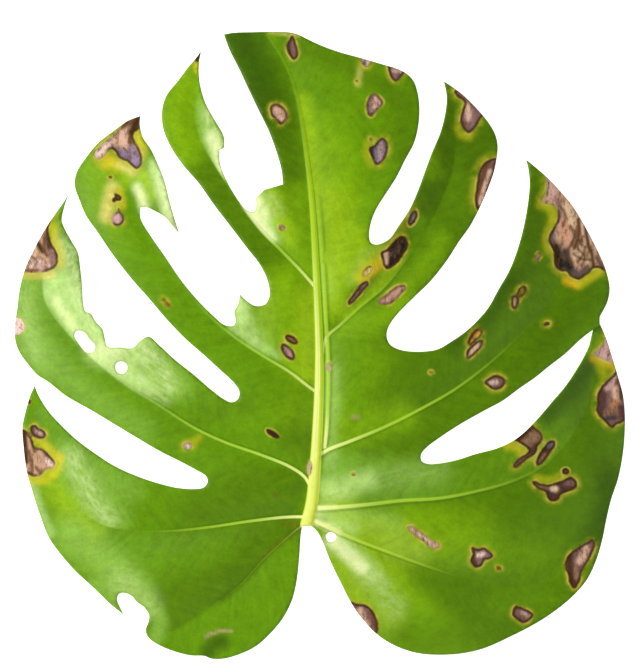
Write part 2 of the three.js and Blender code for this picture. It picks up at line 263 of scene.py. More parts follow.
# The holes in the blade, each a closed ring of points.
HOLES = {
    "left_long": [
        (76, 331), (84, 332), (89.5, 339), (95, 346), (92.5, 352.4), (86, 352.3), (79, 344.5), (74, 336),
    ],
    "left_small": [(116, 363.5), (122.5, 361.4), (127.5, 365), (126.5, 371.7), (121, 374.3), (116, 370.5)],
    "base": [(325.8, 535), (331, 531.8), (336.3, 535.5), (334.5, 540.7), (328.5, 541.6)],
}

# Each vein from its root to its end: half its width, its share of the valley's depth and the radius of the
# rib below it, at the two ends. Then how strongly its pale line shows, and the share of its length where the
# line is gone.
VEINS = {
    "midrib": dict(
        route=[
            (307, 524.2), (312, 502), (315, 470), (317.4, 430), (319, 390), (319.2, 350),
            (317.8, 310), (315.5, 262), (312, 205), (306, 152), (300.5, 115), (294, 86), (281.5, 56),
            (268, 36),
        ],
        width=(3.4, 0.5), valley=(1, 0.5), rib=(3.4, 0.5),
    ),
    # A fold beside the midrib rather than a vein: its pale line is a painted highlight where the fold faces
    # the lamp.
    "fold_right": dict(
        route=[
            (324.6, 447), (326.6, 428), (327.8, 404), (328.3, 372), (327.3, 341), (325.8, 318), (323.6, 280),
            (321, 240), (317.5, 200),
        ],
        width=(1.0, 1.1), valley=(0, 0), rib=(0.3, 0.3), shown=(0.95, 1.2),
    ),
    "tip_right": dict(
        route=[(316.5, 275), (333, 245), (347, 218), (360, 193), (373, 167), (387, 138), (397, 106)],
        width=(0.4, 0.3), valley=(0.35, 0.25), rib=(0.4, 0.2), shown=(0, 1),
    ),
    "top_left": dict(
        route=[
            (315, 287), (300, 270), (280, 249.5), (262, 232), (240, 204), (218, 170), (201, 142),
            (194, 118), (195, 95), (197, 74),
        ],
        width=(0.85, 0.35), valley=(0.8, 0.5), rib=(1.3, 0.4), shown=(0.8, 0.45),
    ),
    "upper_left": dict(
        route=[
            (318, 393), (308, 386), (290, 372), (260, 354), (230, 333.5), (200, 306), (175, 272),
            (150, 236), (136, 203), (127, 177), (128, 150), (134, 130),
        ],
        width=(0.8, 0.35), valley=(0.8, 0.5), rib=(1.5, 0.4), shown=(0.75, 0.5),
    ),
    "outer_left": dict(
        route=[
            (311, 488), (305, 477), (290, 466.5), (262, 455), (225, 442), (195, 428), (160, 406),
            (125, 385), (95, 361), (65, 331), (45, 303), (42, 278), (50, 245), (59, 220),
        ],
        width=(0.85, 0.35), valley=(0.9, 0.6), rib=(1.5, 0.4), shown=(1.0, 0.55),
    ),
    "lower_left": dict(
        route=[
            (309, 516.5), (285, 517), (250, 521), (210, 527), (170, 531), (130, 530.5), (100, 524),
            (73, 505), (54, 474), (42, 440), (36, 410),
        ],
        width=(0.85, 0.35), valley=(0.9, 0.5), rib=(1.5, 0.4), shown=(1.0, 0.5),
    ),
    "base_left": dict(
        route=[(306, 522), (290, 535), (264, 559), (240, 585), (216, 604), (190, 622), (174, 631)],
        width=(0.5, 0.3), valley=(0.7, 0.3), rib=(0.9, 0.3), shown=(0.22, 0.9),
    ),
    "upper_right": dict(
        route=[
            (322, 356), (326, 338), (340, 325), (360, 307), (385, 286), (404, 262), (424, 232),
            (440, 203), (452, 172), (456, 140), (454, 112), (448, 93),
        ],
        width=(0.8, 0.35), valley=(0.8, 0.5), rib=(1.4, 0.4), shown=(0.6, 0.5),
    ),
    "middle_right": dict(
        route=[
            (318, 456), (328, 449.5), (350, 441), (385, 426.5), (420, 409), (455, 389), (490, 362.5),
            (520, 335), (546, 310), (559, 280), (557, 248), (546, 210), (534, 178),
        ],
        width=(0.95, 0.35), valley=(0.9, 0.5), rib=(1.5, 0.4), shown=(1.0, 0.62),
    ),
    "lower_right": dict(
        route=[
            (314, 508), (330, 507.5), (365, 504.5), (400, 500.5), (440, 498), (475, 491.5),
            (510, 482), (540, 468), (567, 443), (586, 410), (596, 370), (599, 345),
        ],
        width=(1.15, 0.35), valley=(0.9, 0.5), rib=(1.6, 0.4), shown=(1.0, 0.72),
    ),
    "base_right": dict(
        route=[
            (313, 520), (325, 525.5), (355, 539), (390, 552.5), (425, 565.5), (460, 577),
            (500, 584.5), (535, 583), (565, 571),
        ],
        width=(1.0, 0.35), valley=(0.9, 0.4), rib=(1.5, 0.4), shown=(1.0, 0.62),
    ),
    "sinus_right": dict(
        route=[(315, 527.5), (325, 541), (345, 566), (364, 589), (388, 611), (412, 626)],
        width=(0.5, 0.3), valley=(0.6, 0.3), rib=(0.8, 0.3), shown=(0, 1),
    ),
}


def place(points):
    """Points of the photograph as places on the leaf, in millimetres."""
    return (np.array(points, float) - LEAF_MIDDLE_IN_PHOTO) * (MM_PER_PIXEL, -MM_PER_PIXEL)


def curve_through(points, step, closed=False):
    """A smooth curve through the points, with centripetal spacing, as evenly spaced places."""
    knots = np.array(points, float)
    if closed:
        chain = np.vstack([knots[-1:], knots, knots[:2]])
    else:
        chain = np.vstack([2 * knots[0] - knots[1], knots, 2 * knots[-1] - knots[-2]])
    t = np.linspace(0, 1, CURVE_STEPS, endpoint=False)[:, None]
    stretches = []
    for before, start, end, after in zip(chain, chain[1:], chain[2:], chain[3:]):
        gaps = [math.sqrt(math.dist(a, b)) for a, b in ((before, start), (start, end), (end, after))]
        leaving = (start - before) / gaps[0] - (end - before) / (gaps[0] + gaps[1]) + (end - start) / gaps[1]
        arriving = (end - start) / gaps[1] - (after - start) / (gaps[1] + gaps[2]) + (after - end) / gaps[2]
        leaving, arriving = leaving * gaps[1], arriving * gaps[1]
        cubic = 2 * start - 2 * end + leaving + arriving
        square = -3 * start + 3 * end - 2 * leaving - arriving
        stretches.append(cubic * t**3 + square * t**2 + leaving * t + start)
    line = np.vstack([*stretches, chain[-2]])
    along = np.concatenate([[0], np.cumsum(np.hypot(*np.diff(line, axis=0).T))])
    even = np.linspace(0, along[-1], max(1, round(along[-1] / step)) + 1)
    return np.column_stack([np.interp(even, along, line[:, 0]), np.interp(even, along, line[:, 1])])


def smooth(value, low, high):
    """0 below low, 1 above high, and a soft step between."""
    t = np.clip((value - low) / (high - low), 0, 1)
    return t * t * (3 - 2 * t)


def blend(start, end, share):
    """What lies a share of the way from start to end."""
    return start + (end - start) * share


VEIN_LINES = {name: curve_through(place(vein["route"]), VEIN_LINE_STEP) for name, vein in VEINS.items()}
VEIN_LENGTHS = {name: np.hypot(*np.diff(line, axis=0).T).sum() for name, line in VEIN_LINES.items()}


def nearest_on(line, x, y):
    """Distance to a line, the share of its length there, and the signed distance, positive on its right."""
    best = np.full(x.shape, np.inf)
    share = np.zeros(x.shape)
    turned = np.zeros(x.shape)
    for i, (start, end) in enumerate(zip(line, line[1:])):
        dx, dy = end - start
        t = np.clip(((x - start[0]) * dx + (y - start[1]) * dy) / (dx * dx + dy * dy), 0, 1)
        gap_x = x - start[0] - t * dx
        gap_y = y - start[1] - t * dy
        gap = gap_x**2 + gap_y**2
        closer = gap < best
        best[closer] = gap[closer]
        share[closer] = (i + t[closer]) / (len(line) - 1)
        turned[closer] = (gap_x * dy - gap_y * dx)[closer]
    distance = np.sqrt(best)
    return distance, share, np.sign(turned) * distance


def signed_distance(ring, x, y):
    """Distance to a closed ring, negative inside it."""
    best = np.full(x.shape, np.inf)
    inside = np.zeros(x.shape, bool)
    for start, end in zip(ring, np.roll(ring, -1, axis=0)):
        dx, dy = end - start
        t = np.clip(((x - start[0]) * dx + (y - start[1]) * dy) / (dx * dx + dy * dy), 0, 1)
        best = np.minimum(best, (x - start[0] - t * dx) ** 2 + (y - start[1] - t * dy) ** 2)
        if start[1] != end[1]:
            crosses = (start[1] > y) != (end[1] > y)
            inside ^= crosses & (x < dx * (y - start[1]) / dy + start[0])
    return np.where(inside, -1, 1) * np.sqrt(best)


def inside_rings(rings, places):
    """Which places lie in the leaf, by counting the ring edges to their right."""
    order = np.argsort(places[:, 1], kind="stable")
    x, y = places[order].T
    inside = np.zeros(len(places), bool)
    for ring in rings:
        for start, end in zip(ring, np.roll(ring, -1, axis=0)):
            low, high = sorted((start[1], end[1]))
            if low == high:
                continue
            first, last = np.searchsorted(y, (low, high))
            reach = start[0] + (end[0] - start[0]) * (y[first:last] - start[1]) / (end[1] - start[1])
            inside[first:last] ^= x[first:last] < reach
    answer = np.zeros(len(places), bool)
    answer[order] = inside
    return answer


# Colours as they look on the leaf, in red, green and blue from 0 to 255.
TONES = dict(
    night_green=(59, 93, 3), dark_green=(72, 106, 2), shade_green=(84, 124, 2), leaf_green=(97, 143, 3),
    fresh_green=(109, 155, 4), bright_green=(124, 169, 6), lime=(144, 182, 16), soft_lime=(148, 182, 50),
    sap_green=(126, 166, 40), dull_sage=(116, 162, 42), sage=(137, 181, 64), pale_sage=(176, 212, 114),
    cream=(238, 246, 176), painted_glare=(226, 240, 172), vein_green=(176, 216, 62), vein_lime=(172, 206, 38),
    vein_yellow=(218, 230, 84), vein_cream=(242, 250, 150), olive=(100, 104, 10), yellow=(206, 196, 30),
    straw=(222, 208, 110), amber=(214, 170, 30), old_gold=(172, 168, 36), rust=(150, 98, 30),
    orange=(200, 132, 40), copper=(184, 124, 84), clay=(180, 138, 120), driftwood=(190, 172, 128),
    rose_grey=(160, 150, 96), tan=(192, 152, 122), beige=(216, 184, 148), pink_tan=(216, 174, 150),
    pale_pink=(230, 200, 186), dusty_pink=(196, 158, 150), salmon=(206, 148, 122), taupe=(142, 108, 82),
    mauve=(130, 100, 98), mauve_brown=(122, 90, 82), grey_mauve=(122, 110, 122), slate=(56, 54, 60),
    violet_grey=(138, 120, 150), wine=(76, 48, 48), brown=(104, 68, 34), dark_brown=(62, 38, 4),
    black=(30, 27, 20),
)


def tone(name):
    """A named colour as scene-linear red, green and blue."""
    share = np.array(TONES[name]) / 255
    return np.where(share <= 0.04045, share / 12.92, ((share + 0.055) / 1.055) ** 2.4)


def oval(middle, halves, turn):
    """A ring round a spot: its middle, half its length and width, and its turn clockwise in degrees."""
    angles = np.linspace(0, 2 * math.pi, OVAL_POINTS, endpoint=False)
    long, wide = halves[0] * np.cos(angles), halves[1] * np.sin(angles)
    c, s = math.cos(math.radians(turn)), math.sin(math.radians(turn))
    return [(middle[0] + a * c - b * s, middle[1] + a * s + b * c) for a, b in zip(long, wide)]


# The dry spots: the tone of the middle, the width of the yellow halo, how dark the rim is, and the ring round
# the dead tissue. Some have stretches where the rim is faded, by half width and route, and stains, by tone,
# half width, strength and route. Half widths and routes are in pixels.
SPOTS = {
    "tip_edge": dict(
        tone="mauve_brown", halo=1.4,
        ring=[
            (292, 35), (289.5, 38.5), (286.8, 43.5), (287, 49), (289.5, 54.5), (293.5, 58.7), (297, 56),
            (297.6, 51), (296, 44.5), (294.5, 38.5),
        ],
        stains=[("wine", 3, 0.8, [(289, 42), (289, 52)])],
    ),
    "tip_left": dict(
        tone="clay", halo=1.8, rim=0.9,
        ring=[
            (271, 106), (277, 103.5), (283, 107), (287, 115), (286, 120), (281, 124.5), (276, 120),
            (271, 114),
        ],
        stains=[
            ("copper", 3, 0.6, [(274, 106), (281, 106)]),
            ("pink_tan", 6, 0.8, [(277, 111), (281, 118)]),
            ("dark_brown", 2.6, 0.8, [(270, 107), (269, 115), (274, 122), (281, 123)]),
        ],
    ),
    "tip_margin_small": dict(
        tone="pale_pink", halo=2.2, rim=0.6,
        ring=[
            (361, 55), (360.8, 59), (362.5, 63), (365.5, 66), (368.5, 65), (370.5, 62), (371.5, 58),
            (371, 52), (361, 49),
        ],
        stains=[("dark_brown", 3, 0.7, [(366, 58), (364, 63)])],
    ),
    "tip_margin_large": dict(
        tone="mauve", halo=1.8,
        ring=[
            (388.5, 63), (388.8, 69), (390.5, 75), (393.5, 79.5), (396.5, 80.6), (400, 77.5),
            (404.5, 72.5), (409, 71), (410, 66), (398, 60),
        ],
        stains=[("pink_tan", 3, 0.6, [(393, 70), (400, 71)])],
    ),
    "tip_tear": dict(
        tone="dusty_pink", halo=1.1, rim=0.85,
        ring=[
            (372, 93.8), (376.5, 94.2), (380, 97.5), (382.8, 102), (380.5, 106.5), (376, 110.5),
            (371.5, 116.5), (368.5, 115), (367, 110), (366.8, 104), (369, 98),
        ],
        stains=[
            ("mauve", 5, 0.8, [(372, 98), (371, 108), (370, 114)]),
            ("pink_tan", 4, 0.8, [(376, 99), (375, 106)]),
        ],
    ),
    "tip_grey": dict(
        tone="grey_mauve", halo=2.3,
        ring=[
            (369, 148.5), (375, 145), (378, 141), (382, 138), (385, 139), (387.5, 144), (387, 152),
            (385, 158), (381, 163), (376, 165), (373, 160), (371, 155),
        ],
        stains=[
            ("black", 4, 0.9, [(371, 147), (372, 158)]),
            ("dusty_pink", 3.5, 0.6, [(381, 143), (380, 160)]),
        ],
    ),
    "tip_dot": dict(tone="brown", halo=1.6, rim=0.6, ring=oval((371, 139.5), (2, 1.2), 80)),
    "tip_faint_dot": dict(tone="rust", halo=1.2, rim=0.2, ring=oval((357, 81), (1.8, 1.2), 40)),
    "tip_low": dict(tone="rose_grey", halo=0.8, rim=0.05, ring=oval((282, 228), (4, 3), 60)),
    "upper_right_small": dict(tone="grey_mauve", halo=1.2, ring=oval((412.5, 218), (8, 3.6), 112)),
    "upper_right_black": dict(
        tone="black", halo=1.6,
        ring=[
            (402, 236), (407, 240), (407, 248), (403, 255), (398, 262), (392, 267), (387, 269),
            (384, 266), (382, 259), (381, 253), (386, 250), (390, 246), (394, 241), (398, 238),
        ],
        stains=[
            ("pink_tan", 4.5, 0.9, [(386, 254), (385, 263)]),
            ("slate", 4, 0.6, [(398, 246), (393, 256)]),
        ],
    ),
    "upper_right_beige": dict(
        tone="straw", halo=1.4, rim=0.4,
        ring=oval((367, 271.5), (6.5, 3.2), 132),
        stains=[("brown", 2.6, 0.8, [(361, 272), (365, 267), (371, 266)])],
    ),
    "upper_right_low": dict(
        tone="mauve", halo=0.9,
        ring=[
            (367.5, 281.5), (362, 283.5), (357, 289), (352, 296), (348, 302), (349, 304.8), (353, 302),
            (359, 296), (364, 289.5), (368.2, 284.5),
        ],
    ),
    "upper_right_pink": dict(
        tone="clay", halo=1.3, rim=0.6,
        ring=[
            (404.5, 285.5), (398, 286), (391, 290.5), (385, 295.5), (379, 299.5), (378.8, 303.5),
            (385, 304.6), (391, 303.5), (397, 298), (402, 292.5), (405.5, 289),
        ],
    ),
    "upper_right_margin": dict(
        tone="mauve_brown", halo=2.4,
        ring=[
            (455, 90), (457.5, 95.5), (462, 98.5), (465, 102), (462.6, 110.5), (461, 119.8),
            (463.3, 127.7), (468.5, 132.2), (474.2, 128.8), (478.7, 122), (482.5, 115.5), (489, 112),
            (470, 92),
        ],
        stains=[
            ("brown", 3.5, 0.8, [(456, 95), (463, 103)]),
            ("pink_tan", 6, 0.9, [(467, 106), (470, 118)]),
            ("mauve", 5, 0.9, [(476, 112), (472, 125)]),
        ],
    ),
    "upper_right_long": dict(
        tone="mauve_brown", halo=3.0,
        ring=[
            (497, 158), (490, 159.5), (485, 163), (481, 168), (478.3, 175), (477.3, 183), (476.5, 190),
            (475.2, 197), (475.6, 204), (477.5, 209.5), (485, 212), (500, 185), (503, 162),
        ],
        stains=[
            ("brown", 3, 0.9, [(488, 163), (482, 178), (479, 200)]),
            ("pink_tan", 3.6, 0.9, [(490, 171), (485, 186), (480, 203)]),
            ("dark_brown", 2.8, 0.8, [(495, 163), (493, 175), (487, 190)]),
        ],
    ),
    "middle_right_great": dict(
        tone="tan", halo=2.6,
        ring=[
            (546.5, 174), (547.5, 182), (547, 190), (544, 197), (541.5, 201), (549, 203.5), (555, 206),
            (558, 211), (558.5, 218), (555, 226), (551, 233), (549, 239), (551, 245), (554, 251),
            (554.5, 259), (556, 267), (562, 271), (567, 271), (570, 275), (575, 278), (580, 279),
            (585, 276), (590, 272), (594, 268), (600, 267.5), (604, 270), (613, 274), (617, 262),
            (592, 215), (562, 180),
        ],
        faded=[(10, [(546, 176), (543, 200), (556, 207)])],
        stains=[
            ("dusty_pink", 5, 0.9, [(549, 183), (554, 196)]),
            ("mauve", 4.5, 0.8, [(557, 200), (561, 209), (559, 218)]),
            ("beige", 7, 0.9, [(567, 205), (573, 222)]),
            ("salmon", 7, 0.9, [(564, 222), (567, 240)]),
            ("pink_tan", 6, 0.8, [(582, 222), (588, 238)]),
            ("dark_brown", 2.8, 0.9, [(579, 219), (580, 232), (575, 248)]),
            ("brown", 2.4, 0.8, [(571, 226), (575, 236), (571, 246)]),
            ("brown", 2.2, 0.8, [(560, 205), (566, 214), (564, 226)]),
            ("dark_brown", 2.4, 0.8, [(580, 240), (584, 250), (578, 258)]),
            ("dark_brown", 3, 0.9, [(586, 226), (588, 240), (590, 250)]),
            ("grey_mauve", 5, 0.9, [(552, 228), (553, 242)]),
            ("black", 8, 1.0, [(556, 247), (559, 256), (561, 266)]),
            ("slate", 7, 1.0, [(566, 252), (569, 262), (570, 268)]),
            ("slate", 6, 0.6, [(571, 270), (578, 275), (586, 270)]),
            ("beige", 6, 0.9, [(576, 256), (584, 250), (588, 260)]),
            ("brown", 2.2, 0.8, [(578, 262), (584, 254), (586, 247)]),
            ("dark_brown", 3, 0.9, [(592, 250), (594, 266)]),
            ("wine", 4, 0.8, [(598, 258), (603, 267)]),
            ("slate", 8, 0.6, [(571, 270), (579, 275), (588, 269)]),
            ("black", 6, 0.9, [(556, 250), (561, 262), (570, 266)]),
            ("brown", 2.2, 0.8, [(579, 224), (574, 240), (568, 252), (572, 262)]),
            ("brown", 2.2, 0.8, [(584, 236), (578, 248), (586, 256), (582, 266)]),
            ("brown", 2.2, 0.7, [(592, 246), (588, 256), (596, 264)]),
            ("dark_brown", 2.2, 0.7, [(574, 254), (582, 259), (590, 260)]),
        ],
    ),
    "middle_right_pair_high": dict(
        tone="orange", halo=1.8,
        ring=[
            (478, 328.5), (482, 331), (480.5, 336), (476, 340), (470.5, 345), (467.5, 343.5),
            (468.5, 339), (472, 332.5),
        ],
        stains=[
            ("brown", 2.5, 0.8, [(477, 330), (470, 338), (468, 344)]),
            ("straw", 3, 0.8, [(480, 335), (473, 341)]),
        ],
    ),
    "middle_right_pair_low": dict(
        tone="tan", halo=1.4,
        ring=[
            (482.5, 339.8), (482, 345), (478, 350.5), (472, 356), (467.5, 358.5), (466.2, 355),
            (467.5, 350), (472, 345), (477.5, 341.5),
        ],
        stains=[("beige", 3.5, 0.8, [(478, 344), (472, 351)])],
    ),
    "middle_right_twin_low": dict(
        tone="taupe", halo=1.4,
        ring=[
            (512.5, 296), (516, 295.5), (518.8, 299), (518, 304), (515, 309.3), (512, 307.5),
            (511.3, 302),
        ],
        stains=[("beige", 2.2, 0.8, [(514.5, 299), (514, 305)])],
    ),
    "middle_right_twin_high": dict(
        tone="old_gold", halo=1.8,
        ring=[(518, 290.5), (522.5, 286), (526.5, 287.5), (525.5, 292.5), (520.5, 297), (516.5, 297)],
        stains=[("brown", 2.2, 0.8, [(519, 295), (524, 289)])],
    ),
    "middle_right_fleck": dict(
        tone="tan", halo=1.2, rim=0.6,
        ring=[(538.5, 253), (541, 255.5), (539, 258.5), (536.5, 261.5), (535, 260.5), (536, 256)],
    ),
    "middle_right_dot": dict(tone="brown", halo=1.9, rim=0.6, ring=oval((546.5, 324), (3.2, 1.7), -20)),
    "middle_right_oval": dict(
        tone="mauve_brown", halo=1.9,
        ring=[
            (484.5, 382), (488, 379), (492, 376), (497, 375.2), (502, 377), (505, 381), (503, 386),
            (498, 389.2), (493, 389), (488, 386),
        ],
        # The pale pink stain is a painted highlight on the spot.
        stains=[("pale_pink", 4, 0.7, [(490, 383), (496, 382)])],
    ),
    "middle_right_faint": dict(tone="rust", halo=1.1, rim=0.05, ring=oval((431, 372.5), (2.0, 1.2), 10)),
    "lower_right_pink": dict(
        tone="dusty_pink", halo=2.4, rim=0.1,
        ring=[
            (594, 354), (600, 349), (604.5, 344), (607, 338), (614, 336), (622, 352), (622, 363),
            (612, 362.5), (604, 359.5), (598, 356.5),
        ],
    ),
    "lower_right_great": dict(
        tone="mauve_brown", halo=2.2,
        ring=[
            (617, 369), (616.5, 371.5), (612, 377), (606, 382.5), (601, 389), (598, 395), (598, 403),
            (597, 410), (600, 416), (605, 421), (610, 426.5), (614, 428), (617, 424.5), (621, 423),
            (626, 421), (633, 420), (632, 380), (620, 364),
        ],
        stains=[
            ("dusty_pink", 5, 0.9, [(616, 375), (613, 384), (608, 389)]),
            ("brown", 3, 0.9, [(618, 380), (616, 386), (612, 392)]),
            ("pink_tan", 7, 0.9, [(616, 390), (617, 398)]),
            ("copper", 6, 0.9, [(616, 402), (614, 406)]),
            ("wine", 7, 0.9, [(602, 393), (603, 402), (602, 412)]),
            ("taupe", 6, 0.9, [(608, 413), (613, 411)]),
            ("slate", 4, 0.9, [(608, 418.5), (616, 418)]),
            ("wine", 5, 0.9, [(622, 408), (625, 418)]),
            ("dark_brown", 4, 0.9, [(621.5, 386), (622, 398)]),
        ],
    ),
    "lower_right_slit_edge": dict(
        tone="taupe", halo=2.2,
        ring=[
            (514, 439), (519, 434.5), (524, 430), (530, 424), (535, 428), (540, 432), (542.5, 437),
            (541, 442), (538, 446), (536, 452), (534, 454.5), (526, 460), (519, 465.8), (515, 467.8),
            (513.5, 465.5), (517, 460), (524, 455.5), (529, 451), (526, 447), (520, 443),
        ],
        stains=[
            ("black", 5, 1.0, [(518, 438), (524, 433), (530, 429)]),
            ("taupe", 8, 0.9, [(529, 440), (535, 433), (534, 444)]),
            ("wine", 7, 0.9, [(533, 450), (537, 446)]),
            ("mauve_brown", 5, 0.9, [(518, 463), (525, 458), (530, 454)]),
            ("dark_brown", 5, 0.9, [(517, 440), (523, 434), (529, 429)]),
            ("wine", 5, 0.7, [(523, 446), (531, 452)]),
        ],
    ),
    "lower_right_finger": dict(
        tone="wine", halo=1.6,
        ring=[
            (554, 441), (549, 441.5), (545, 446), (540, 453), (536.5, 461), (537.5, 465.5), (541, 464.5),
            (546, 459), (551, 452), (555, 445.5),
        ],
        stains=[
            ("grey_mauve", 5, 0.9, [(549, 445), (552, 444)]),
            ("taupe", 5, 0.8, [(544, 455), (540, 462)]),
            ("dark_brown", 4, 0.8, [(545, 449), (539, 454)]),
        ],
    ),
    "lower_right_wedge": dict(
        tone="wine", halo=2.0,
        ring=[
            (532.5, 482), (536, 481.5), (541, 484), (549, 485), (556, 483), (563, 481), (568, 478),
            (572, 477.2), (577, 483), (576.5, 488), (570, 491), (562, 494.5), (558, 500), (552, 501.5),
            (548, 498), (545.5, 492), (538, 488.5),
        ],
        stains=[
            ("taupe", 5, 0.8, [(537, 485), (546, 487)]),
            ("beige", 5, 1.0, [(553, 488.5), (556, 489.5)]),
            ("mauve", 5, 0.8, [(566, 483), (572, 483)]),
        ],
    ),
    "lower_right_bead": dict(tone="brown", halo=0.8, ring=oval((566, 471.5), (3.6, 3.0), 20)),
    "lower_right_tall": dict(
        tone="mauve_brown", halo=1.8,
        ring=[
            (593, 540), (596, 545), (594, 551), (590, 560), (583, 572), (580, 583), (575, 589),
            (571, 585), (569, 575), (566, 568), (567, 560), (572, 553), (579, 548), (588, 543),
        ],
        stains=[
            ("dark_brown", 5, 0.9, [(570, 556), (571, 570), (575, 586)]),
            ("pink_tan", 6, 0.9, [(587, 549), (581, 562)]),
            ("taupe", 4, 0.8, [(577, 570), (577, 578)]),
        ],
    ),
    "lower_right_edge": dict(
        tone="mauve_brown", halo=1.6,
        ring=[(513, 615), (516, 607), (521, 608), (534, 615.5), (531, 620), (524, 624), (519, 621)],
        stains=[("dusty_pink", 4, 0.7, [(523, 613), (528, 616)])],
    ),
    "sinus_margin": dict(
        tone="mauve_brown", halo=1.5,
        ring=[
            (350, 602), (357, 604), (363, 604.5), (369, 607), (374, 613), (377, 620), (378, 627),
            (377, 633), (368, 634), (355, 616),
        ],
        stains=[
            ("pink_tan", 5, 0.9, [(360, 610), (367, 624)]),
            ("brown", 3.5, 0.8, [(371, 612), (376, 627)]),
        ],
    ),
    "base_right_round": dict(
        tone="mauve", halo=1.9,
        ring=[
            (472, 547.5), (478, 549), (484, 548), (489, 551), (493, 556), (489, 559), (485, 560),
            (481, 566), (476, 567.5), (472, 564), (470.5, 560), (473, 554),
        ],
        stains=[
            ("pale_pink", 4, 0.9, [(478, 556), (483, 554)]),
            ("dark_brown", 3.5, 0.8, [(472, 556), (476, 566)]),
        ],
    ),
    "base_right_dot": dict(tone="rust", halo=1.6, rim=0.4, ring=oval((499, 568.5), (2.6, 1.8), 20)),
    "base_right_long": dict(
        tone="beige", halo=1.8, rim=0.45,
        ring=[
            (407.5, 527), (413, 526.3), (419, 530.5), (425, 534.5), (431, 539.5), (438, 543),
            (439.8, 546), (434, 548.5), (429, 546.5), (424, 541.5), (417, 537), (411, 532),
        ],
    ),
    "right_dot": dict(tone="rose_grey", halo=0.4, rim=0.1, ring=oval((353.5, 474), (2.4, 1.7), 0)),
    "left_pair_high": dict(
        tone="brown", halo=1.6,
        ring=oval((291.5, 339.5), (7, 3.4), 32),
        stains=[("taupe", 2.5, 0.7, [(287, 338), (294, 341)])],
    ),
    "left_pair_low": dict(
        tone="mauve", halo=1.5,
        ring=oval((288, 352), (9.5, 4.6), 52),
        stains=[
            ("taupe", 3, 0.7, [(283, 347), (292, 357)]),
            ("dusty_pink", 2.5, 0.5, [(286, 346), (291, 356)]),
        ],
    ),
    "left_dark": dict(tone="black", halo=0.9, ring=oval((273, 433.5), (7.4, 2.7), 32)),
    "left_ring": dict(tone="pale_pink", halo=2.0, rim=0.5, ring=oval((188, 446), (3.8, 3.4), 0)),
    "left_fleck_high": dict(tone="rust", halo=1.6, rim=0.2, ring=oval((164, 300), (2.4, 1.6), 50)),
    "left_fleck_low": dict(tone="rust", halo=1.6, rim=0.2, ring=oval((168, 304.5), (2.8, 1.7), 50)),
    "upper_left_tip": dict(
        tone="tan", halo=2.6,
        ring=[
            (137, 112), (128, 118), (121, 125.5), (114, 133), (105.5, 140.5), (98, 147.5), (93.5, 153.5),
            (97, 158.5), (101, 157.5), (105, 153), (108, 149.5), (111, 148.5), (115, 151), (118, 156),
            (122, 159), (127, 161), (131, 165), (136, 168.5), (140, 166), (141.5, 160), (141, 154),
            (138, 147), (134.5, 141), (132.5, 136), (134, 131.5), (137.5, 129), (140.5, 126), (146, 118),
        ],
        faded=[
            (7, [(92, 147), (95, 157), (104, 153)]),
            (5, [(122, 124), (108, 137), (97, 147)]),
        ],
        stains=[
            ("pale_pink", 7, 0.9, [(97, 153), (102, 147), (107, 141)]),
            ("pink_tan", 11, 0.9, [(112, 138), (120, 131), (124, 143)]),
            ("brown", 2, 0.6, [(118, 128), (117, 142)]),
            ("brown", 5, 0.9, [(122, 126), (130, 121)]),
            ("dark_brown", 8, 1.0, [(137, 117), (135, 124), (132, 131)]),
            ("dark_brown", 4, 0.9, [(130.5, 132), (130, 142)]),
            ("brown", 3, 0.8, [(129, 138), (131, 148)]),
            ("mauve", 9, 0.9, [(116, 150), (121, 154), (129, 158)]),
            ("violet_grey", 5, 0.9, [(121, 152), (127, 155)]),
            ("violet_grey", 8, 0.9, [(132, 150), (135, 157), (136, 164)]),
            ("brown", 2, 0.7, [(129, 148), (130, 158)]),
        ],
    ),
    "upper_left_dot": dict(tone="brown", halo=1.2, rim=0.4, ring=oval((110, 177), (1.8, 1.5), 0)),
    "upper_left_fleck": dict(
        tone="brown", halo=2.6,
        ring=[
            (114, 193.5), (117.5, 194), (121, 197), (120, 200), (116.5, 200.5), (113.5, 202), (112, 199),
            (114.5, 197),
        ],
    ),
    "upper_left_round": dict(
        tone="dusty_pink", halo=2.0,
        ring=[
            (118.5, 208.5), (120.5, 212), (123, 216), (123.5, 221), (120, 225), (115, 225), (111.8, 221),
            (111.5, 216.5), (115, 213), (117.5, 211.5),
        ],
        faded=[(6, [(112, 210), (110, 222)])],
        stains=[("taupe", 4, 0.7, [(121, 213), (123, 221)])],
    ),
    "outer_left_margin": dict(
        tone="tan", halo=2.4,
        ring=[
            (52, 210), (50, 220), (47.5, 227), (49, 238), (51, 244), (55, 250), (57, 256), (57, 262),
            (55, 266), (52, 268.5), (44, 271.5), (34, 272.5), (24, 272), (16, 270), (28, 240), (44, 212),
        ],
        faded=[(6, [(26, 274), (40, 273)])],
        stains=[
            ("mauve", 5, 0.8, [(43, 233), (45, 241), (47, 247)]),
            ("beige", 5, 0.9, [(35, 246), (33, 255)]),
            ("tan", 6, 0.8, [(37, 252), (42, 256), (41, 260)]),
            ("mauve", 6, 0.9, [(48, 249), (52, 254), (52, 262)]),
            ("pale_pink", 5, 0.9, [(31, 265), (37, 261)]),
            ("dusty_pink", 5, 0.9, [(38, 266), (50, 267)]),
            ("brown", 3, 0.8, [(26, 270.5), (36, 270)]),
            ("dark_brown", 5, 1.0, [(50, 216), (48, 228), (49, 246)]),
            ("dark_brown", 4, 1.0, [(36, 240), (38.5, 246), (42, 251)]),
            ("brown", 3, 0.9, [(44, 238), (43, 250), (47, 256)]),
            ("brown", 2.4, 0.8, [(30, 256), (36, 260), (34, 266)]),
        ],
    ),
    "outer_left_pink": dict(
        tone="pale_pink", halo=0.3, rim=0.05,
        ring=[(10, 319), (17, 317.5), (21.5, 320), (23.8, 326), (22, 332), (16, 335), (10, 334)],
    ),
    "lower_left_small": dict(
        tone="mauve_brown", halo=1.8,
        ring=[
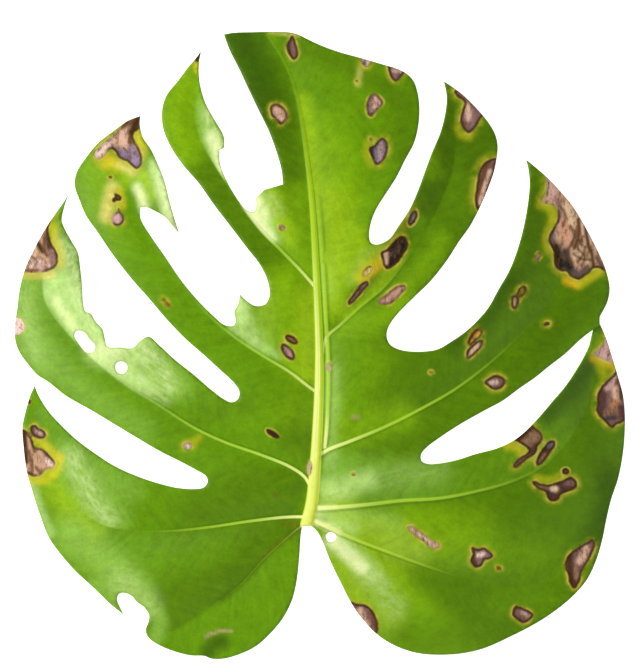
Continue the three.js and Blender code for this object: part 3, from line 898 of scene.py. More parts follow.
            (30.5, 426.5), (34.5, 425.5), (38, 429), (43, 431), (45.2, 435.5), (42.5, 438.5), (36, 438),
            (32, 435.5), (30, 431),
        ],
        stains=[("dusty_pink", 3.5, 0.9, [(37, 431), (42, 435)])],
    ),
    "lower_left_great": dict(
        tone="tan", halo=2.2,
        ring=[
            (20, 429.5), (25, 431), (31, 439), (34, 447), (42, 449.5), (48, 455), (54, 463), (52, 468),
            (45, 470), (41, 475), (33, 476.5), (24, 472.5), (16, 470), (14, 430),
        ],
        faded=[(6, [(52, 466), (40, 477)])],
        stains=[
            ("dark_brown", 5, 1.0, [(23, 430), (24, 446), (25, 462)]),
            ("brown", 3, 0.9, [(31, 440), (34, 452), (38, 458)]),
            ("mauve_brown", 4, 0.9, [(44, 452), (50, 462)]),
            ("brown", 2.5, 0.8, [(28, 452), (31, 464), (30, 474)]),
            ("brown", 3, 0.8, [(36, 468), (40, 474)]),
            ("pale_pink", 4.5, 0.9, [(46, 460), (50, 464)]),
            ("tan", 5, 0.8, [(36, 456), (42, 464)]),
        ],
    ),
    "lower_left_point": dict(tone="dark_brown", halo=0.6, ring=oval((29, 402), (2.4, 1.2), 110)),
    "top_left_point": dict(
        tone="brown", halo=1.2,
        ring=[(200, 52), (199, 58), (197, 61), (194.5, 59.5), (196, 55), (198, 50)],
    ),
    "midrib_scar": dict(tone="driftwood", halo=0.3, rim=0.15, ring=oval((329, 367), (5.2, 2.4), 85)),
    "midrib_low_scar": dict(tone="driftwood", halo=0.3, rim=0.1, ring=oval((309.5, 468), (7.5, 2.4), 95)),
}
SPOT_RINGS = {
    name: curve_through(place(spot["ring"]), SPOT_STEP, closed=True)[1:] for name, spot in SPOTS.items()
}

# The green each vein has on its left and on its right, looking from its root to its end.
# Where the two sides differ, the green is partly the leaf's own and partly painted shade and painted light:
# the side that tilts away from the lamp is darker.
PANELS = {
    "midrib": ("leaf_green", "fresh_green"),
    "fold_right": ("lime", "bright_green"),
    "tip_right": ("fresh_green", "leaf_green"),
    "top_left": ("shade_green", "fresh_green"),
    "upper_left": ("leaf_green", "leaf_green"),
    "outer_left": ("leaf_green", "leaf_green"),
    "lower_left": ("leaf_green", "leaf_green"),
    "base_left": ("leaf_green", "shade_green"),
    "upper_right": ("dark_green", "shade_green"),
    "middle_right": ("shade_green", "shade_green"),
    "lower_right": ("leaf_green", "shade_green"),
    "base_right": ("shade_green", "shade_green"),
    "sinus_right": ("fresh_green", "fresh_green"),
}

# Brush strokes over the panels: tone, half width in pixels, strength, route, and for some the vein and the
# side of it, 1 for its right and -1 for its left, that they keep to. Later ones lie over earlier ones.
# Many strokes are painted light and shade: the cream, pale sage, sage and dull sage ones are painted
# highlights where the glossy blade catches the light, and the darkest greens are partly painted shade.
STROKES = [
    # The tip lobe: painted shade left of the midrib, painted light right of it.
    ("night_green", 46, 1.0, [(240, 36), (258, 76), (270, 112)], "midrib", -1),
    ("dark_green", 30, 0.8, [(268, 112), (284, 145), (292, 172)], "midrib", -1),
    ("shade_green", 34, 0.9, [(290, 44), (330, 58), (362, 72)], "midrib", 1),
    ("leaf_green", 34, 0.9, [(316, 90), (360, 104), (372, 130)], "midrib", 1),
    ("bright_green", 30, 0.8, [(328, 150), (342, 172), (350, 200)], "midrib", 1),
    ("lime", 14, 0.8, [(303, 98), (310, 140), (316, 186)], "midrib", 1),
    ("shade_green", 28, 0.9, [(385, 84), (406, 110), (400, 148)]),
    ("lime", 34, 1.0, [(328, 200), (338, 225), (342, 262)], "midrib", 1),
    ("fresh_green", 20, 0.7, [(300, 190), (306, 240)], "midrib", -1),
    ("leaf_green", 28, 0.6, [(298, 74), (330, 88)], "midrib", 1),
    # The top left lobe: painted highlights right of its vein, painted shade left of it.
    ("bright_green", 40, 1.0, [(186, 80), (176, 124), (184, 146)]),
    ("shade_green", 16, 0.6, [(214, 192), (240, 226), (260, 262)], "top_left", -1),
    ("sage", 16, 0.9, [(206, 104), (211, 138), (221, 170)], "top_left", 1),
    ("cream", 12, 0.7, [(212, 138), (218, 152), (224, 172)], "top_left", 1),
    ("pale_sage", 15, 0.8, [(258, 202), (266, 218), (274, 238)], "top_left", 1),
    ("cream", 12, 0.9, [(248, 210), (259, 226), (268, 238)], "top_left", 1),
    ("cream", 13, 0.75, [(255, 198), (261, 206), (266, 214)]),
    ("lime", 15, 0.9, [(270, 194), (278, 215), (290, 240)], "top_left", 1),
    # Left of the midrib.
    ("bright_green", 36, 1.0, [(284, 284), (284, 318), (296, 354)], "midrib", -1),
    ("lime", 24, 1.0, [(308, 300), (308, 372)], "midrib", -1),
    ("shade_green", 24, 0.7, [(290, 436), (308, 440)], "midrib", -1),
    # The upper left lobe, with painted highlights.
    ("bright_green", 24, 0.9, [(92, 172), (98, 200)]),
    ("lime", 18, 1.0, [(126, 176), (146, 176), (150, 192)]),
    ("fresh_green", 20, 0.8, [(86, 184), (98, 214), (122, 244)]),
    ("pale_sage", 11, 0.9, [(154, 164), (162, 190), (168, 212)]),
    ("cream", 10, 0.5, [(162, 178), (168, 204), (175, 226)]),
    ("cream", 9, 0.7, [(137, 188), (142, 199), (144, 208)]),
    ("sage", 18, 0.9, [(238, 300), (248, 326), (264, 348)], "upper_left", 1),
    ("pale_sage", 8, 0.5, [(232, 328), (256, 343), (278, 356)], "upper_left", 1),
    ("pale_sage", 12, 0.9, [(242, 296), (240, 318)]),
    ("pale_sage", 14, 0.5, [(236, 300), (238, 326)]),
    ("soft_lime", 22, 0.4, [(262, 296), (266, 330)]),
    # The outer left lobe, with painted highlights.
    ("sage", 30, 0.8, [(26, 286), (26, 326), (46, 362)]),
    ("dull_sage", 26, 0.9, [(58, 366), (100, 404), (142, 430)], "outer_left", -1),
    ("pale_sage", 28, 0.9, [(56, 282), (78, 305), (100, 342)], "outer_left", 1),
    ("pale_sage", 16, 0.95, [(50, 292), (62, 312), (76, 332)], "outer_left", 1),
    ("cream", 9, 0.5, [(56, 300), (66, 316), (76, 330)], "outer_left", 1),
    ("pale_sage", 26, 1.0, [(100, 350), (138, 350)]),
    ("pale_sage", 22, 0.9, [(96, 354), (126, 372), (148, 384)], "outer_left", 1),
    ("sage", 22, 0.7, [(160, 368), (180, 388)], "outer_left", 1),
    ("cream", 18, 0.45, [(92, 350), (112, 352), (134, 356)], "outer_left", 1),
    ("sage", 26, 0.8, [(132, 352), (150, 360), (168, 380)]),
    ("shade_green", 36, 0.8, [(200, 500), (250, 484), (296, 484)], "outer_left", -1),
    ("leaf_green", 13, 0.8, [(63, 203), (59, 216), (62, 222)]),
    ("shade_green", 24, 0.5, [(206, 412), (244, 404)]),
    # The lower left lobe, with painted highlights and a painted shadow in the fold at its lower edge.
    ("lime", 28, 0.8, [(48, 476), (68, 508), (88, 530)]),
    ("pale_sage", 9, 0.7, [(31, 484), (38, 506), (50, 534)]),
    ("sage", 14, 0.8, [(146, 600), (160, 622), (154, 640)]),
    ("sage", 34, 0.9, [(72, 536), (104, 562), (132, 590)]),
    ("sage", 30, 0.8, [(66, 458), (85, 486), (112, 518)], "lower_left", 1),
    ("shade_green", 26, 0.7, [(240, 560), (256, 540)], "base_left", 1),
    ("dark_green", 40, 0.4, [(180, 524), (222, 520), (276, 520)]),
    ("sage", 24, 0.5, [(100, 474), (130, 490)]),
    ("sage", 22, 0.6, [(96, 590), (118, 602)]),
    ("night_green", 14, 0.9, [(208, 654), (212, 646), (222, 642)]),
    # Right of the midrib, with painted highlights.
    ("lime", 24, 0.9, [(330, 262), (334, 306)], "fold_right", 1),
    ("sage", 16, 0.9, [(334, 370), (334, 410), (332, 450), (335, 496)], "midrib", 1),
    ("pale_sage", 16, 0.9, [(326, 484), (336, 490), (346, 494)]),
    ("leaf_green", 30, 0.6, [(350, 346), (356, 400)], "midrib", 1),
    ("bright_green", 30, 0.8, [(350, 430), (400, 415)]),
    ("dull_sage", 34, 0.9, [(340, 478), (380, 484), (436, 474)]),
    ("dull_sage", 26, 0.8, [(340, 468), (374, 470), (404, 474)]),
    ("pale_sage", 18, 0.7, [(332, 490), (350, 485), (368, 480)], "lower_right", -1),
    # The lower right lobe, with painted highlights near its root.
    ("lime", 40, 1.0, [(335, 514), (356, 548), (384, 580)]),
    ("bright_green", 46, 0.9, [(390, 534), (440, 540), (470, 536)]),
    ("fresh_green", 40, 0.7, [(490, 556), (540, 556)]),
    ("pale_sage", 18, 0.8, [(338, 544), (358, 562), (376, 582)]),
    ("cream", 6, 0.7, [(318, 513), (334, 515)], "lower_right", 1),
    ("pale_sage", 12, 0.95, [(326, 514), (356, 516)], "lower_right", 1),
    ("cream", 5, 0.9, [(318, 508), (334, 507)]),
    ("sap_green", 24, 0.9, [(360, 520), (400, 526)], "lower_right", 1),
    ("sage", 14, 0.7, [(368, 518), (396, 522)], "lower_right", 1),
    ("lime", 24, 0.7, [(370, 536), (410, 548)]),
    ("soft_lime", 26, 0.8, [(352, 576), (372, 602), (390, 618)]),
    ("soft_lime", 16, 0.6, [(344, 519), (376, 526), (404, 530)], "lower_right", 1),
    ("bright_green", 24, 0.7, [(412, 516), (446, 520)]),
    ("soft_lime", 20, 0.7, [(334, 514), (350, 526)], "base_right", -1),
    ("soft_lime", 22, 0.6, [(392, 548), (418, 552)]),
    ("pale_sage", 12, 0.5, [(330, 522), (352, 527)], "lower_right", 1),
    ("lime", 20, 0.6, [(336, 556), (348, 584), (362, 606)]),
    ("cream", 6, 0.9, [(315, 521), (326, 526), (338, 532)]),
    ("cream", 12, 0.75, [(331, 540), (348, 554), (362, 568)]),
    ("bright_green", 32, 0.6, [(384, 592), (408, 598)]),
    ("shade_green", 32, 0.6, [(410, 640), (440, 640), (480, 632)]),
    ("night_green", 26, 0.9, [(610, 480), (606, 512), (594, 540)]),
    ("dark_green", 28, 0.6, [(582, 390), (588, 430), (600, 460)]),
    ("night_green", 20, 0.9, [(590, 366), (566, 396), (546, 416)]),
    ("leaf_green", 26, 0.6, [(500, 600), (545, 600)]),
    # The middle right lobe.
    ("dark_green", 40, 0.5, [(545, 342), (590, 304)]),
    ("dark_green", 24, 0.7, [(536, 190), (534, 230), (520, 280)]),
    ("night_green", 22, 0.8, [(508, 280), (486, 316), (454, 342)]),
    # The upper right lobe.
    ("dark_green", 26, 0.9, [(484, 136), (474, 160)]),
    ("dark_green", 16, 0.7, [(450, 96), (456, 118), (462, 146)]),
    ("bright_green", 20, 0.4, [(424, 150), (432, 172)]),
    ("old_gold", 12, 0.35, [(410, 208), (400, 230), (386, 250)]),
    ("bright_green", 26, 0.8, [(346, 324), (378, 318), (402, 302)], "upper_right", 1),
    ("lime", 18, 0.8, [(358, 236), (362, 262)]),
    ("soft_lime", 12, 0.8, [(352, 280), (364, 258), (378, 248)], "upper_right", -1),
    ("lime", 16, 0.8, [(350, 318), (366, 302), (380, 286), (396, 260)], "upper_right", -1),
    ("bright_green", 20, 0.6, [(406, 284), (426, 266), (440, 242)], "upper_right", 1),
    ("leaf_green", 13, 0.7, [(408, 262), (416, 240), (420, 222)], "upper_right", -1),
    # Creases with painted shade along them, small marks and scars.
    ("olive", 6, 0.6, [(282, 522), (300, 525)]),
    ("dark_green", 4, 0.9, [(302, 526), (290, 535), (264, 559), (240, 585), (222, 599)]),
    ("olive", 2.5, 0.6, [(300, 529), (276, 545), (262, 558)]),
    ("tan", 4, 0.45, [(353, 417), (358, 417)]),
    ("brown", 4, 0.4, [(274, 495), (278, 495)]),
    ("straw", 4, 0.6, [(270, 30.5), (298, 34)]),
    ("tan", 2.4, 0.7, [(213, 634), (222, 631), (232, 631)]),
    ("tan", 3.4, 0.5, [(206, 637), (211, 634)]),
    ("straw", 6, 0.4, [(360, 68), (358, 84)]),
    # Yellow beside the dry spots.
    ("yellow", 5, 0.8, [(195, 64), (196, 70)]),
    ("yellow", 9, 0.75, [(37, 441), (48, 449), (58, 459)]),
    ("yellow", 10, 0.7, [(360, 278), (368, 268), (384, 256)]),
    ("amber", 6, 0.8, [(365, 279), (374, 271), (383, 262)]),
    ("yellow", 9, 0.7, [(508, 446), (517, 447), (525, 454)]),
    ("amber", 8, 1.0, [(567, 280), (576, 284)]),
    ("yellow", 8, 0.8, [(580, 284), (600, 271)]),
    ("amber", 7, 0.8, [(594, 358), (604, 362), (614, 367)]),
    ("yellow", 9, 0.4, [(600, 364), (604, 374)]),
    ("yellow", 7, 0.35, [(367, 144), (366, 152), (369, 162)]),
    ("amber", 8, 0.7, [(106, 157), (112, 160)]),
    ("yellow", 12, 0.85, [(105, 163), (116, 165)]),
    ("straw", 8, 0.8, [(120, 164), (132, 171)]),
    ("yellow", 9, 0.9, [(137, 134), (142, 150)]),
    ("straw", 12, 0.85, [(112, 188), (106, 216)]),
    ("yellow", 7, 0.7, [(119, 190), (122, 206)]),
    ("straw", 7, 0.8, [(26, 275), (52, 275)]),
    ("yellow", 9, 0.7, [(61, 264), (59, 250), (54, 238), (52, 226)]),
    ("yellow", 9, 0.7, [(28, 480), (42, 480), (56, 470), (59, 458)]),
    ("yellow", 8, 0.5, [(541, 205), (551, 209), (553, 220), (547, 236), (548, 250)]),
    ("yellow", 7, 0.4, [(458, 128), (462, 135), (469, 137)]),
    ("yellow", 7, 0.35, [(536, 477), (550, 480), (562, 475)]),
    ("yellow", 8, 0.4, [(194, 442), (199, 438)]),
]

# Painted highlights, pale streaks where the glossy blade catches the light: strength, half width in pixels,
# route, and the side of a vein.
SHEENS = [
    (0.7, 12, [(207, 112), (216, 138), (222, 165)], "top_left", 1),
    (0.8, 12, [(250, 208), (260, 225), (268, 238)], "top_left", 1),
    (0.4, 12, [(268, 194), (278, 212)], "top_left", 1),
    (0.7, 11, [(155, 168), (162, 195), (173, 224)]),
    (0.4, 15, [(240, 303), (247, 325), (256, 340)], "upper_left", 1),
    (0.7, 18, [(66, 246), (74, 266), (80, 300), (92, 326)], "outer_left", 1),
    (0.8, 18, [(96, 350), (140, 350), (156, 366), (168, 384)], "outer_left", 1),
    (0.6, 16, [(108, 362), (140, 382), (164, 396)], "outer_left", 1),
    (0.25, 15, [(24, 296), (28, 325), (36, 355)]),
    (0.6, 20, [(72, 458), (88, 490), (106, 520)], "lower_left", 1),
    (0.4, 24, [(120, 580), (148, 605)]),
    (0.2, 12, [(333, 372), (331, 410), (330, 450), (334, 500)]),
    (0.7, 10, [(322, 496), (344, 492)], "lower_right", -1),
    (0.8, 13, [(334, 541), (352, 556), (372, 576)]),
    (0.4, 20, [(345, 545), (375, 580), (396, 606)]),
    (0.2, 20, [(350, 480), (436, 470)]),
]


def outline_ring():
    """The margin of the leaf as one closed ring of evenly spaced places."""
    straight = ("stem_cut", "torn_edge", "torn_corner", "torn_ledge")
    runs = []
    for name, points in OUTLINE.items():
        places = place(points)
        if name in straight:
            steps = max(1, round(math.dist(places[0], places[-1]) / EDGE_STEP))
            line = np.linspace(places[0], places[-1], steps + 1)
        else:
            line = curve_through(places, EDGE_STEP)
        runs.append(line[:-1])
    return np.vstack(runs)


RINGS = [outline_ring()] + [curve_through(place(hole), EDGE_STEP, closed=True)[1:] for hole in HOLES.values()]


def margin_distance(x, y):
    """Distance to the nearest stretch of the margin or of a hole's edge."""
    corners = np.vstack(RINGS)
    before = np.vstack([np.roll(ring, 1, axis=0) for ring in RINGS])
    after = np.vstack([np.roll(ring, -1, axis=0) for ring in RINGS])
    tree = kdtree.KDTree(len(corners))
    for i, (cx, cy) in enumerate(corners):
        tree.insert((cx, cy, 0), i)
    tree.balance()
    nearest = np.array([tree.find((px, py, 0))[1] for px, py in zip(x, y)])
    spot = np.column_stack([x, y])
    best = np.full(x.shape, np.inf)
    for other in (before, after):
        start = corners[nearest]
        way = other[nearest] - start
        t = np.clip(((spot - start) * way).sum(axis=1) / (way**2).sum(axis=1), 0, 1)
        best = np.minimum(best, np.hypot(*(spot - start - t[:, None] * way).T))
    return best


class Leaf:
    """Everything that is read at a set of places on the leaf: its veins, spots, colours and heights."""

    def __init__(self, places):
        self.x, self.y = places.T
        self.read_veins()
        self.read_spots()
        self.edge = margin_distance(self.x, self.y)

    def read_veins(self):
        """The nearest vein and the nearest side vein: how far they are, on which side and how far along."""
        self.near = {name: nearest_on(line, self.x, self.y) for name, line in VEIN_LINES.items()}
        distances, shares, sides = np.array(list(self.near.values())).transpose(1, 0, 2)
        everywhere = np.arange(len(self.x))
        order = np.sort(distances, axis=0)
        first = distances.argmin(axis=0)
        lengths = np.array(list(VEIN_LENGTHS.values()))[first]
        self.vein_distance = order[0]
        self.vein_lead = smooth(order[1] - order[0], 0, 4)
        self.vein_share = shares[first, everywhere]
        self.vein_along = self.vein_share * lengths + GRAIN_SHIFT * first

        side = distances[1:].argmin(axis=0) + 1
        widths = np.array([vein["width"] for vein in VEINS.values()])[side]
        strength, end = np.array([vein.get("shown", (1, 1)) for vein in VEINS.values()])[side].T
        self.side_distance = distances[side, everywhere]
        self.side_share = shares[side, everywhere]
        self.side_side = sides[side, everywhere]
        self.side_width = blend(widths[:, 0], widths[:, 1], self.side_share)
        self.line = strength * (1 - smooth(self.side_share, 0.35 * end, end))
        self.vein_shadow = strength * (1 - smooth(self.side_share, 0.6 * end, 1.1 * end))

        distance, self.midrib_share, turned = self.near["midrib"]
        self.midrib_width = blend(*VEINS["midrib"]["width"], self.midrib_share**0.8)
        self.midrib = distance / self.midrib_width
        side_ratio = turned / self.midrib_width / 0.25
        self.midrib_side = np.clip(side_ratio, -1, 1) * (1 - smooth(self.midrib, 2, 4))

    def read_spots(self):
        """The nearest dry spot: its signed distance, halo and rim, and its tone with the stains in it."""
        self.spot = np.full(self.x.shape, float(SPOT_REACH))
        self.halo = np.ones(self.x.shape)
        self.rim = np.ones(self.x.shape)
        self.spot_tone = np.tile(tone("tan"), (len(self.x), 1))
        for name, spot in SPOTS.items():
            ring = SPOT_RINGS[name]
            low, high = ring.min(axis=0) - SPOT_REACH, ring.max(axis=0) + SPOT_REACH
            close = (self.x > low[0]) & (self.x < high[0]) & (self.y > low[1]) & (self.y < high[1])
            index = np.flatnonzero(close)
            distance = signed_distance(ring, self.x[index], self.y[index])
            nearer = distance < self.spot[index]
            index = index[nearer]
            self.spot[index] = distance[nearer]
            self.halo[index] = spot["halo"]
            self.rim[index] = spot.get("rim", 1)
            self.spot_tone[index] = tone(spot["tone"])
        dead = np.flatnonzero(self.spot < STAIN_REACH)
        for spot in SPOTS.values():
            for half, route in spot.get("faded", []):
                self.rim *= 1 - RIM_FADE * self.stroke(route, half, PATCH_FULL)
            for stain, half, strength, route in spot.get("stains", []):
                amount = strength * self.stroke(route, half, PATCH_FULL, dead)
                self.spot_tone[dead] = blend(self.spot_tone[dead], tone(stain), amount[:, None])

    def stroke(self, route, half, full=1, index=slice(None)):
        """How much there is of a brush stroke: 0 at its edges, and 1 from a share of the way in."""
        line = curve_through(place(route), STROKE_STEP)
        away = nearest_on(line, self.x[index], self.y[index])[0]
        return smooth(1 - away / (half * MM_PER_PIXEL), 0, full)

    def on_side(self, vein=None, side=1):
        """1 on the side of the vein that a stroke keeps to and 0 on the other, or 1 all over."""
        if vein is None:
            return 1
        return smooth(self.near[vein][2] * side, -SIDE_SOFTNESS, SIDE_SOFTNESS)

    def sheen(self):
        """How much painted highlight lies on the surface, from 0 to 1."""
        total = np.zeros(len(self.x))
        for strength, half, route, *keep in SHEENS:
            total = np.maximum(total, strength * self.stroke(route, half) * self.on_side(*keep))
        return total

    def wash(self):
        """The green of the leaf, with painted light and shade: the panels beside each vein, then the brush
        strokes.
        """
        total = np.zeros((len(self.x), 3))
        weight = np.zeros(len(self.x))
        for name, (left, right) in PANELS.items():
            pull = np.exp(-(self.near[name][0] - self.vein_distance) / PANEL_SOFTNESS)
            total += pull[:, None] * blend(tone(left), tone(right), self.on_side(name)[:, None])
            weight += pull
        colour = total / weight[:, None]
        for name, half, strength, route, *keep in STROKES:
            amount = strength * self.stroke(route, half) * self.on_side(*keep)
            colour = blend(colour, tone(name), amount[:, None])
        return colour

    def readings(self):
        """What the materials read at each place: single values, one vector, and two colours."""
        grain = np.column_stack([
            self.vein_along - GRAIN_SLANT * self.vein_distance, self.vein_distance, np.zeros(len(self.x))
        ])
        return {
            "spot": self.spot,
            "halo": self.halo,
            "rim": self.rim,
            "edge": self.edge,
            "vein": np.minimum(self.side_distance / self.side_width, FAR),
            "vein_side": np.clip(self.side_side / 0.5, -1, 1) * (1 - smooth(self.side_distance, 3, 6)),
            "vein_root": 1 - smooth(self.side_share, 0, 0.2),
            "line": self.line,
            "vein_shadow": self.vein_shadow,
            "midrib": np.minimum(self.midrib, FAR),
            "midrib_side": self.midrib_side,
            "midrib_share": self.midrib_share,
            "lead": self.vein_lead * (1 - smooth(self.vein_share, 0.9, 0.99)),
            "sheen": self.sheen(),
            "grain": grain,
            "wash": opaque(self.wash()),
            "spot_tone": opaque(self.spot_tone),
        }

    def middle_height(self):
        """The height of the middle of the blade, as in the solid."""
        crown = CROWN_HEIGHT - CROWN_FALL * (
            (self.x / CROWN_HALF_WIDTH) ** 2 + ((self.y - CROWN_MIDDLE_Y) / CROWN_HALF_LENGTH) ** 2
        )
        cubes = 0
        for name, (distance, share, _) in self.near.items():
            away = np.hypot(distance, VALLEY_ROUNDING) - VALLEY_ROUNDING
            cubes = cubes + (blend(*VEINS[name]["valley"], share) * np.exp(-away / VALLEY_WIDTH)) ** 3
        raw = crown + VALLEY_DEPTH * (1 - np.minimum(1, np.cbrt(cubes)))
        return TOP_ABOVE_MIDDLE + (raw + np.hypot(raw, FLOOR_SOFTNESS)) / 2

    def top_height(self):
        """The upper face, with its ripples, raised midrib, ridges along the veins and sunken dry spots."""
        height = self.middle_height() + TOP_ABOVE_MIDDLE
        calm = smooth(self.vein_distance, 1, 8) * smooth(height, 0.8, 4)
        for size, length, phase_x, phase_y in RIPPLES:
            across = np.sin((self.x + RIPPLE_SLANT_X * self.y) / length + phase_x)
            along = np.sin((self.y - RIPPLE_SLANT_Y * self.x) / length * RIPPLE_CROWDING + phase_y)
            height = height + size * calm * across * along
        ratio = np.clip(self.midrib, 0, 1)
        height = height + RIDGE_SHARE * self.midrib_width * np.sqrt(1 - ratio**2)
        ratio = np.clip(self.side_distance / (RIDGE_SPREAD * self.side_width), 0, 1)
        height = height + RIDGE_SHARE * self.side_width * self.line * (1 - ratio**2) ** 1.5
        height = height - SPOT_SINK * smooth(-self.spot, 0.2, 1.4)
        height = height + SPOT_LIP * (1 - smooth(np.abs(self.spot), 0, 0.7))
        return np.minimum(height, HIGHEST)

    def under_height(self):
        """The lower face: the blade is thin, thinner at its margin, and a rib stands out under each vein."""
        thickness = blend(RIM, BLADE, smooth(self.edge, 0, RIM_WIDTH))
        rib = np.zeros(len(self.x))
        for name, (distance, share, _) in self.near.items():
            radius = blend(*VEINS[name]["rib"], share)
            ratio = distance / (RIB_SPREAD * radius)
            rib = np.maximum(rib, radius * np.sqrt(np.clip(1 - ratio**2, 0, 1)))
        rib *= smooth(self.edge, 0.2, 2.5)
        return np.maximum(self.top_height() - thickness - rib, LOWEST)


def lattice(step):
    """Places over the leaf's box in rows, each row half a step along from the last."""
    low, high = RINGS[0].min(axis=0), RINGS[0].max(axis=0)
    rows = np.arange(low[1], high[1], step * math.sqrt(3) / 2)
    places = []
    for i, y in enumerate(rows):
        x = np.arange(low[0] + (i % 2) * step / 2, high[0], step)
        places.append(np.column_stack([x, np.full(len(x), y)]))
    return np.vstack(places)


def vein_rows(step, shares, margin):
    """Rows of places along every vein: at shares of its half width, and at a margin beyond it."""
    rows = []
    for vein in VEINS.values():
        line = curve_through(place(vein["route"]), step)
        ahead = np.gradient(line, axis=0)
        ahead /= np.hypot(*ahead.T)[:, None]
        across = np.column_stack([ahead[:, 1], -ahead[:, 0]])
        half = blend(*vein["width"], np.linspace(0, 1, len(line)))[:, None]
        rows.append(line)
        for offset in [*(share * half for share in shares), half + margin]:
            rows += [line + across * offset, line - across * offset]
    return np.vstack(rows)


def fine_places(step):
    """Lattice places in and round the dry spots."""
    places = lattice(step)
    near = np.zeros(len(places), bool)
    for ring in SPOT_RINGS.values():
        low, high = ring.min(axis=0) - FINE_REACH, ring.max(axis=0) + FINE_REACH
        index = np.flatnonzero(np.all((places > low) & (places < high), axis=1))
        near[index[signed_distance(ring, *places[index].T) < FINE_REACH]] = True
    return places[near]


def kept_apart(groups):
    """Goes through groups of places in turn, and keeps each place that is clear of those kept before it."""
    cell = max(gap for _, gap in groups)
    grid = {}
    kept = []
    for places, gap in groups:
        limit = gap * gap
        for x, y in places.tolist():
            column, row = int(x // cell), int(y // cell)
            clear = True
            for i in (column - 1, column, column + 1):
                for j in (row - 1, row, row + 1):
                    for kx, ky in grid.get((i, j), ()):
                        if (kx - x) ** 2 + (ky - y) ** 2 < limit:
                            clear = False
            if clear:
                grid.setdefault((column, row), []).append((x, y))
                kept.append((x, y))
    return np.array(kept)


def sheet(groups):
    """A sheet of triangles over the leaf: the ring places come first, in order."""
    border = np.vstack(RINGS)
    inner = kept_apart([(border, 0)] + groups)[len(border):]
    inner = inner[inside_rings(RINGS, inner)]
    places = np.vstack([border, inner])
    edges = []
    start = 0
    for ring in RINGS:
        edges += [(start + i, start + (i + 1) % len(ring)) for i in range(len(ring))]
        start += len(ring)
    corners = [Vector(p) for p in places.tolist()]
    found, _, triangles, *_ = delaunay_2d_cdt(corners, edges, [], 0, 1e-6)
    if len(found) != len(places):
        raise RuntimeError("the margin crosses itself")
    triangles = np.array(triangles)
    inside = inside_rings(RINGS, places[triangles].mean(axis=1))
    return places, triangles[inside]


def top_sheet():
    """The upper face's places and triangles, finest along the veins and round the dry spots."""
    return sheet([
        (vein_rows(VEIN_STEP, (0.5, 1), 0.7), VEIN_GAP),
        (np.vstack(list(SPOT_RINGS.values())), FINE_GAP),
        (fine_places(FINE_STEP), FINE_GAP),
        (lattice(COARSE_STEP), COARSE_GAP),
    ])


def under_sheet():
    """The lower face's places and triangles, coarser than the upper face's."""
    return sheet([
        (vein_rows(2 * VEIN_STEP, (1,), 1.0), UNDER_VEIN_GAP),
        (lattice(UNDER_STEP), UNDER_GAP),
    ])


def overlapped(places, heights):
    """Slides the top of the lower lobe a little under the corner of the lobe above, and lifts that corner."""
    _, _, side = nearest_on(place(OVERLAP_LINE), *places.T)
    away = np.hypot(*(places - place([OVERLAP_MIDDLE])).T)
    amount = smooth(1 - away / OVERLAP_REACH, 0, 1)
    below = np.where(side > 0, amount, 0)
    above = np.where(side > 0, 0, amount)
    moved = places + below[:, None] * OVERLAP_SHIFT
    return moved, heights + OVERLAP_RISE * above - OVERLAP_DROP * below


def facing_up(places, triangles):
    """The triangles with their corners in counterclockwise order."""
    a, b, c = (places[triangles[:, i]] for i in range(3))
    area = (b[:, 0] - a[:, 0]) * (c[:, 1] - a[:, 1]) - (b[:, 1] - a[:, 1]) * (c[:, 0] - a[:, 0])
    return np.where((area < 0)[:, None], triangles[:, ::-1], triangles)


def rim_walls(upper, first_under):
    """The thin edge, from each side that only one upper triangle has down to the same side below."""
    sides = np.vstack([upper[:, [0, 1]], upper[:, [1, 2]], upper[:, [2, 0]]])
    count = upper.max() + 1
    there = sides[:, 0] * count + sides[:, 1]
    back = sides[:, 1] * count + sides[:, 0]
    start, end = sides[~np.isin(there, back)].T
    return np.vstack([
        np.column_stack([end, start, start + first_under]),
        np.column_stack([end, start + first_under, end + first_under]),
    ])


def opaque(colours):
    """Rows of red, green and blue with a full alpha."""
    return np.column_stack([colours, np.ones(len(colours))])


def write_readings(mesh, top, under):
    """Keeps what the materials read at each corner of the mesh, by how many numbers it has there."""
    stored_as = {1: ("FLOAT", "value"), 3: ("FLOAT_VECTOR", "vector"), 4: ("FLOAT_COLOR", "color")}
    for name, above in top.items():
        values = np.concatenate([above, under[name]]).astype(np.float32)
        kind, key = stored_as[values[0].size]
        mesh.attributes.new(name, kind, "POINT").data.foreach_set(key, values.ravel())


def build_leaf():
    """The whole leaf as one closed mesh: upper face, lower face, and the thin edge between."""
    top_places, top_triangles = top_sheet()
    under_places, under_triangles = under_sheet()
    top, under = Leaf(top_places), Leaf(under_places)
    top_at, top_z = overlapped(top_places, top.top_height())
    under_at, under_z = overlapped(under_places, under.under_height())
    corners = np.vstack([
        np.column_stack([top_at, np.maximum(top_z, LOWEST + RIM)]),
        np.column_stack([under_at, np.maximum(under_z, LOWEST)]),
    ])
    first_under = len(top_places)
    upper = facing_up(top_places, top_triangles)
    walls = rim_walls(upper, first_under)
    lower = facing_up(under_places, under_triangles)[:, ::-1] + first_under
    faces = np.vstack([upper, walls, lower])
    mesh = bpy.data.meshes.new("leaf_blade")
    mesh.from_pydata((corners * METRES).tolist(), [], faces.tolist())
    piece = bpy.data.objects.new("leaf_blade", mesh)
    bpy.context.collection.objects.link(piece)
    is_under = np.repeat([0, 1], [len(upper) + len(walls), len(lower)])
    mesh.polygons.foreach_set("material_index", is_under)
    write_readings(mesh, top.readings(), under.readings())
    return piece


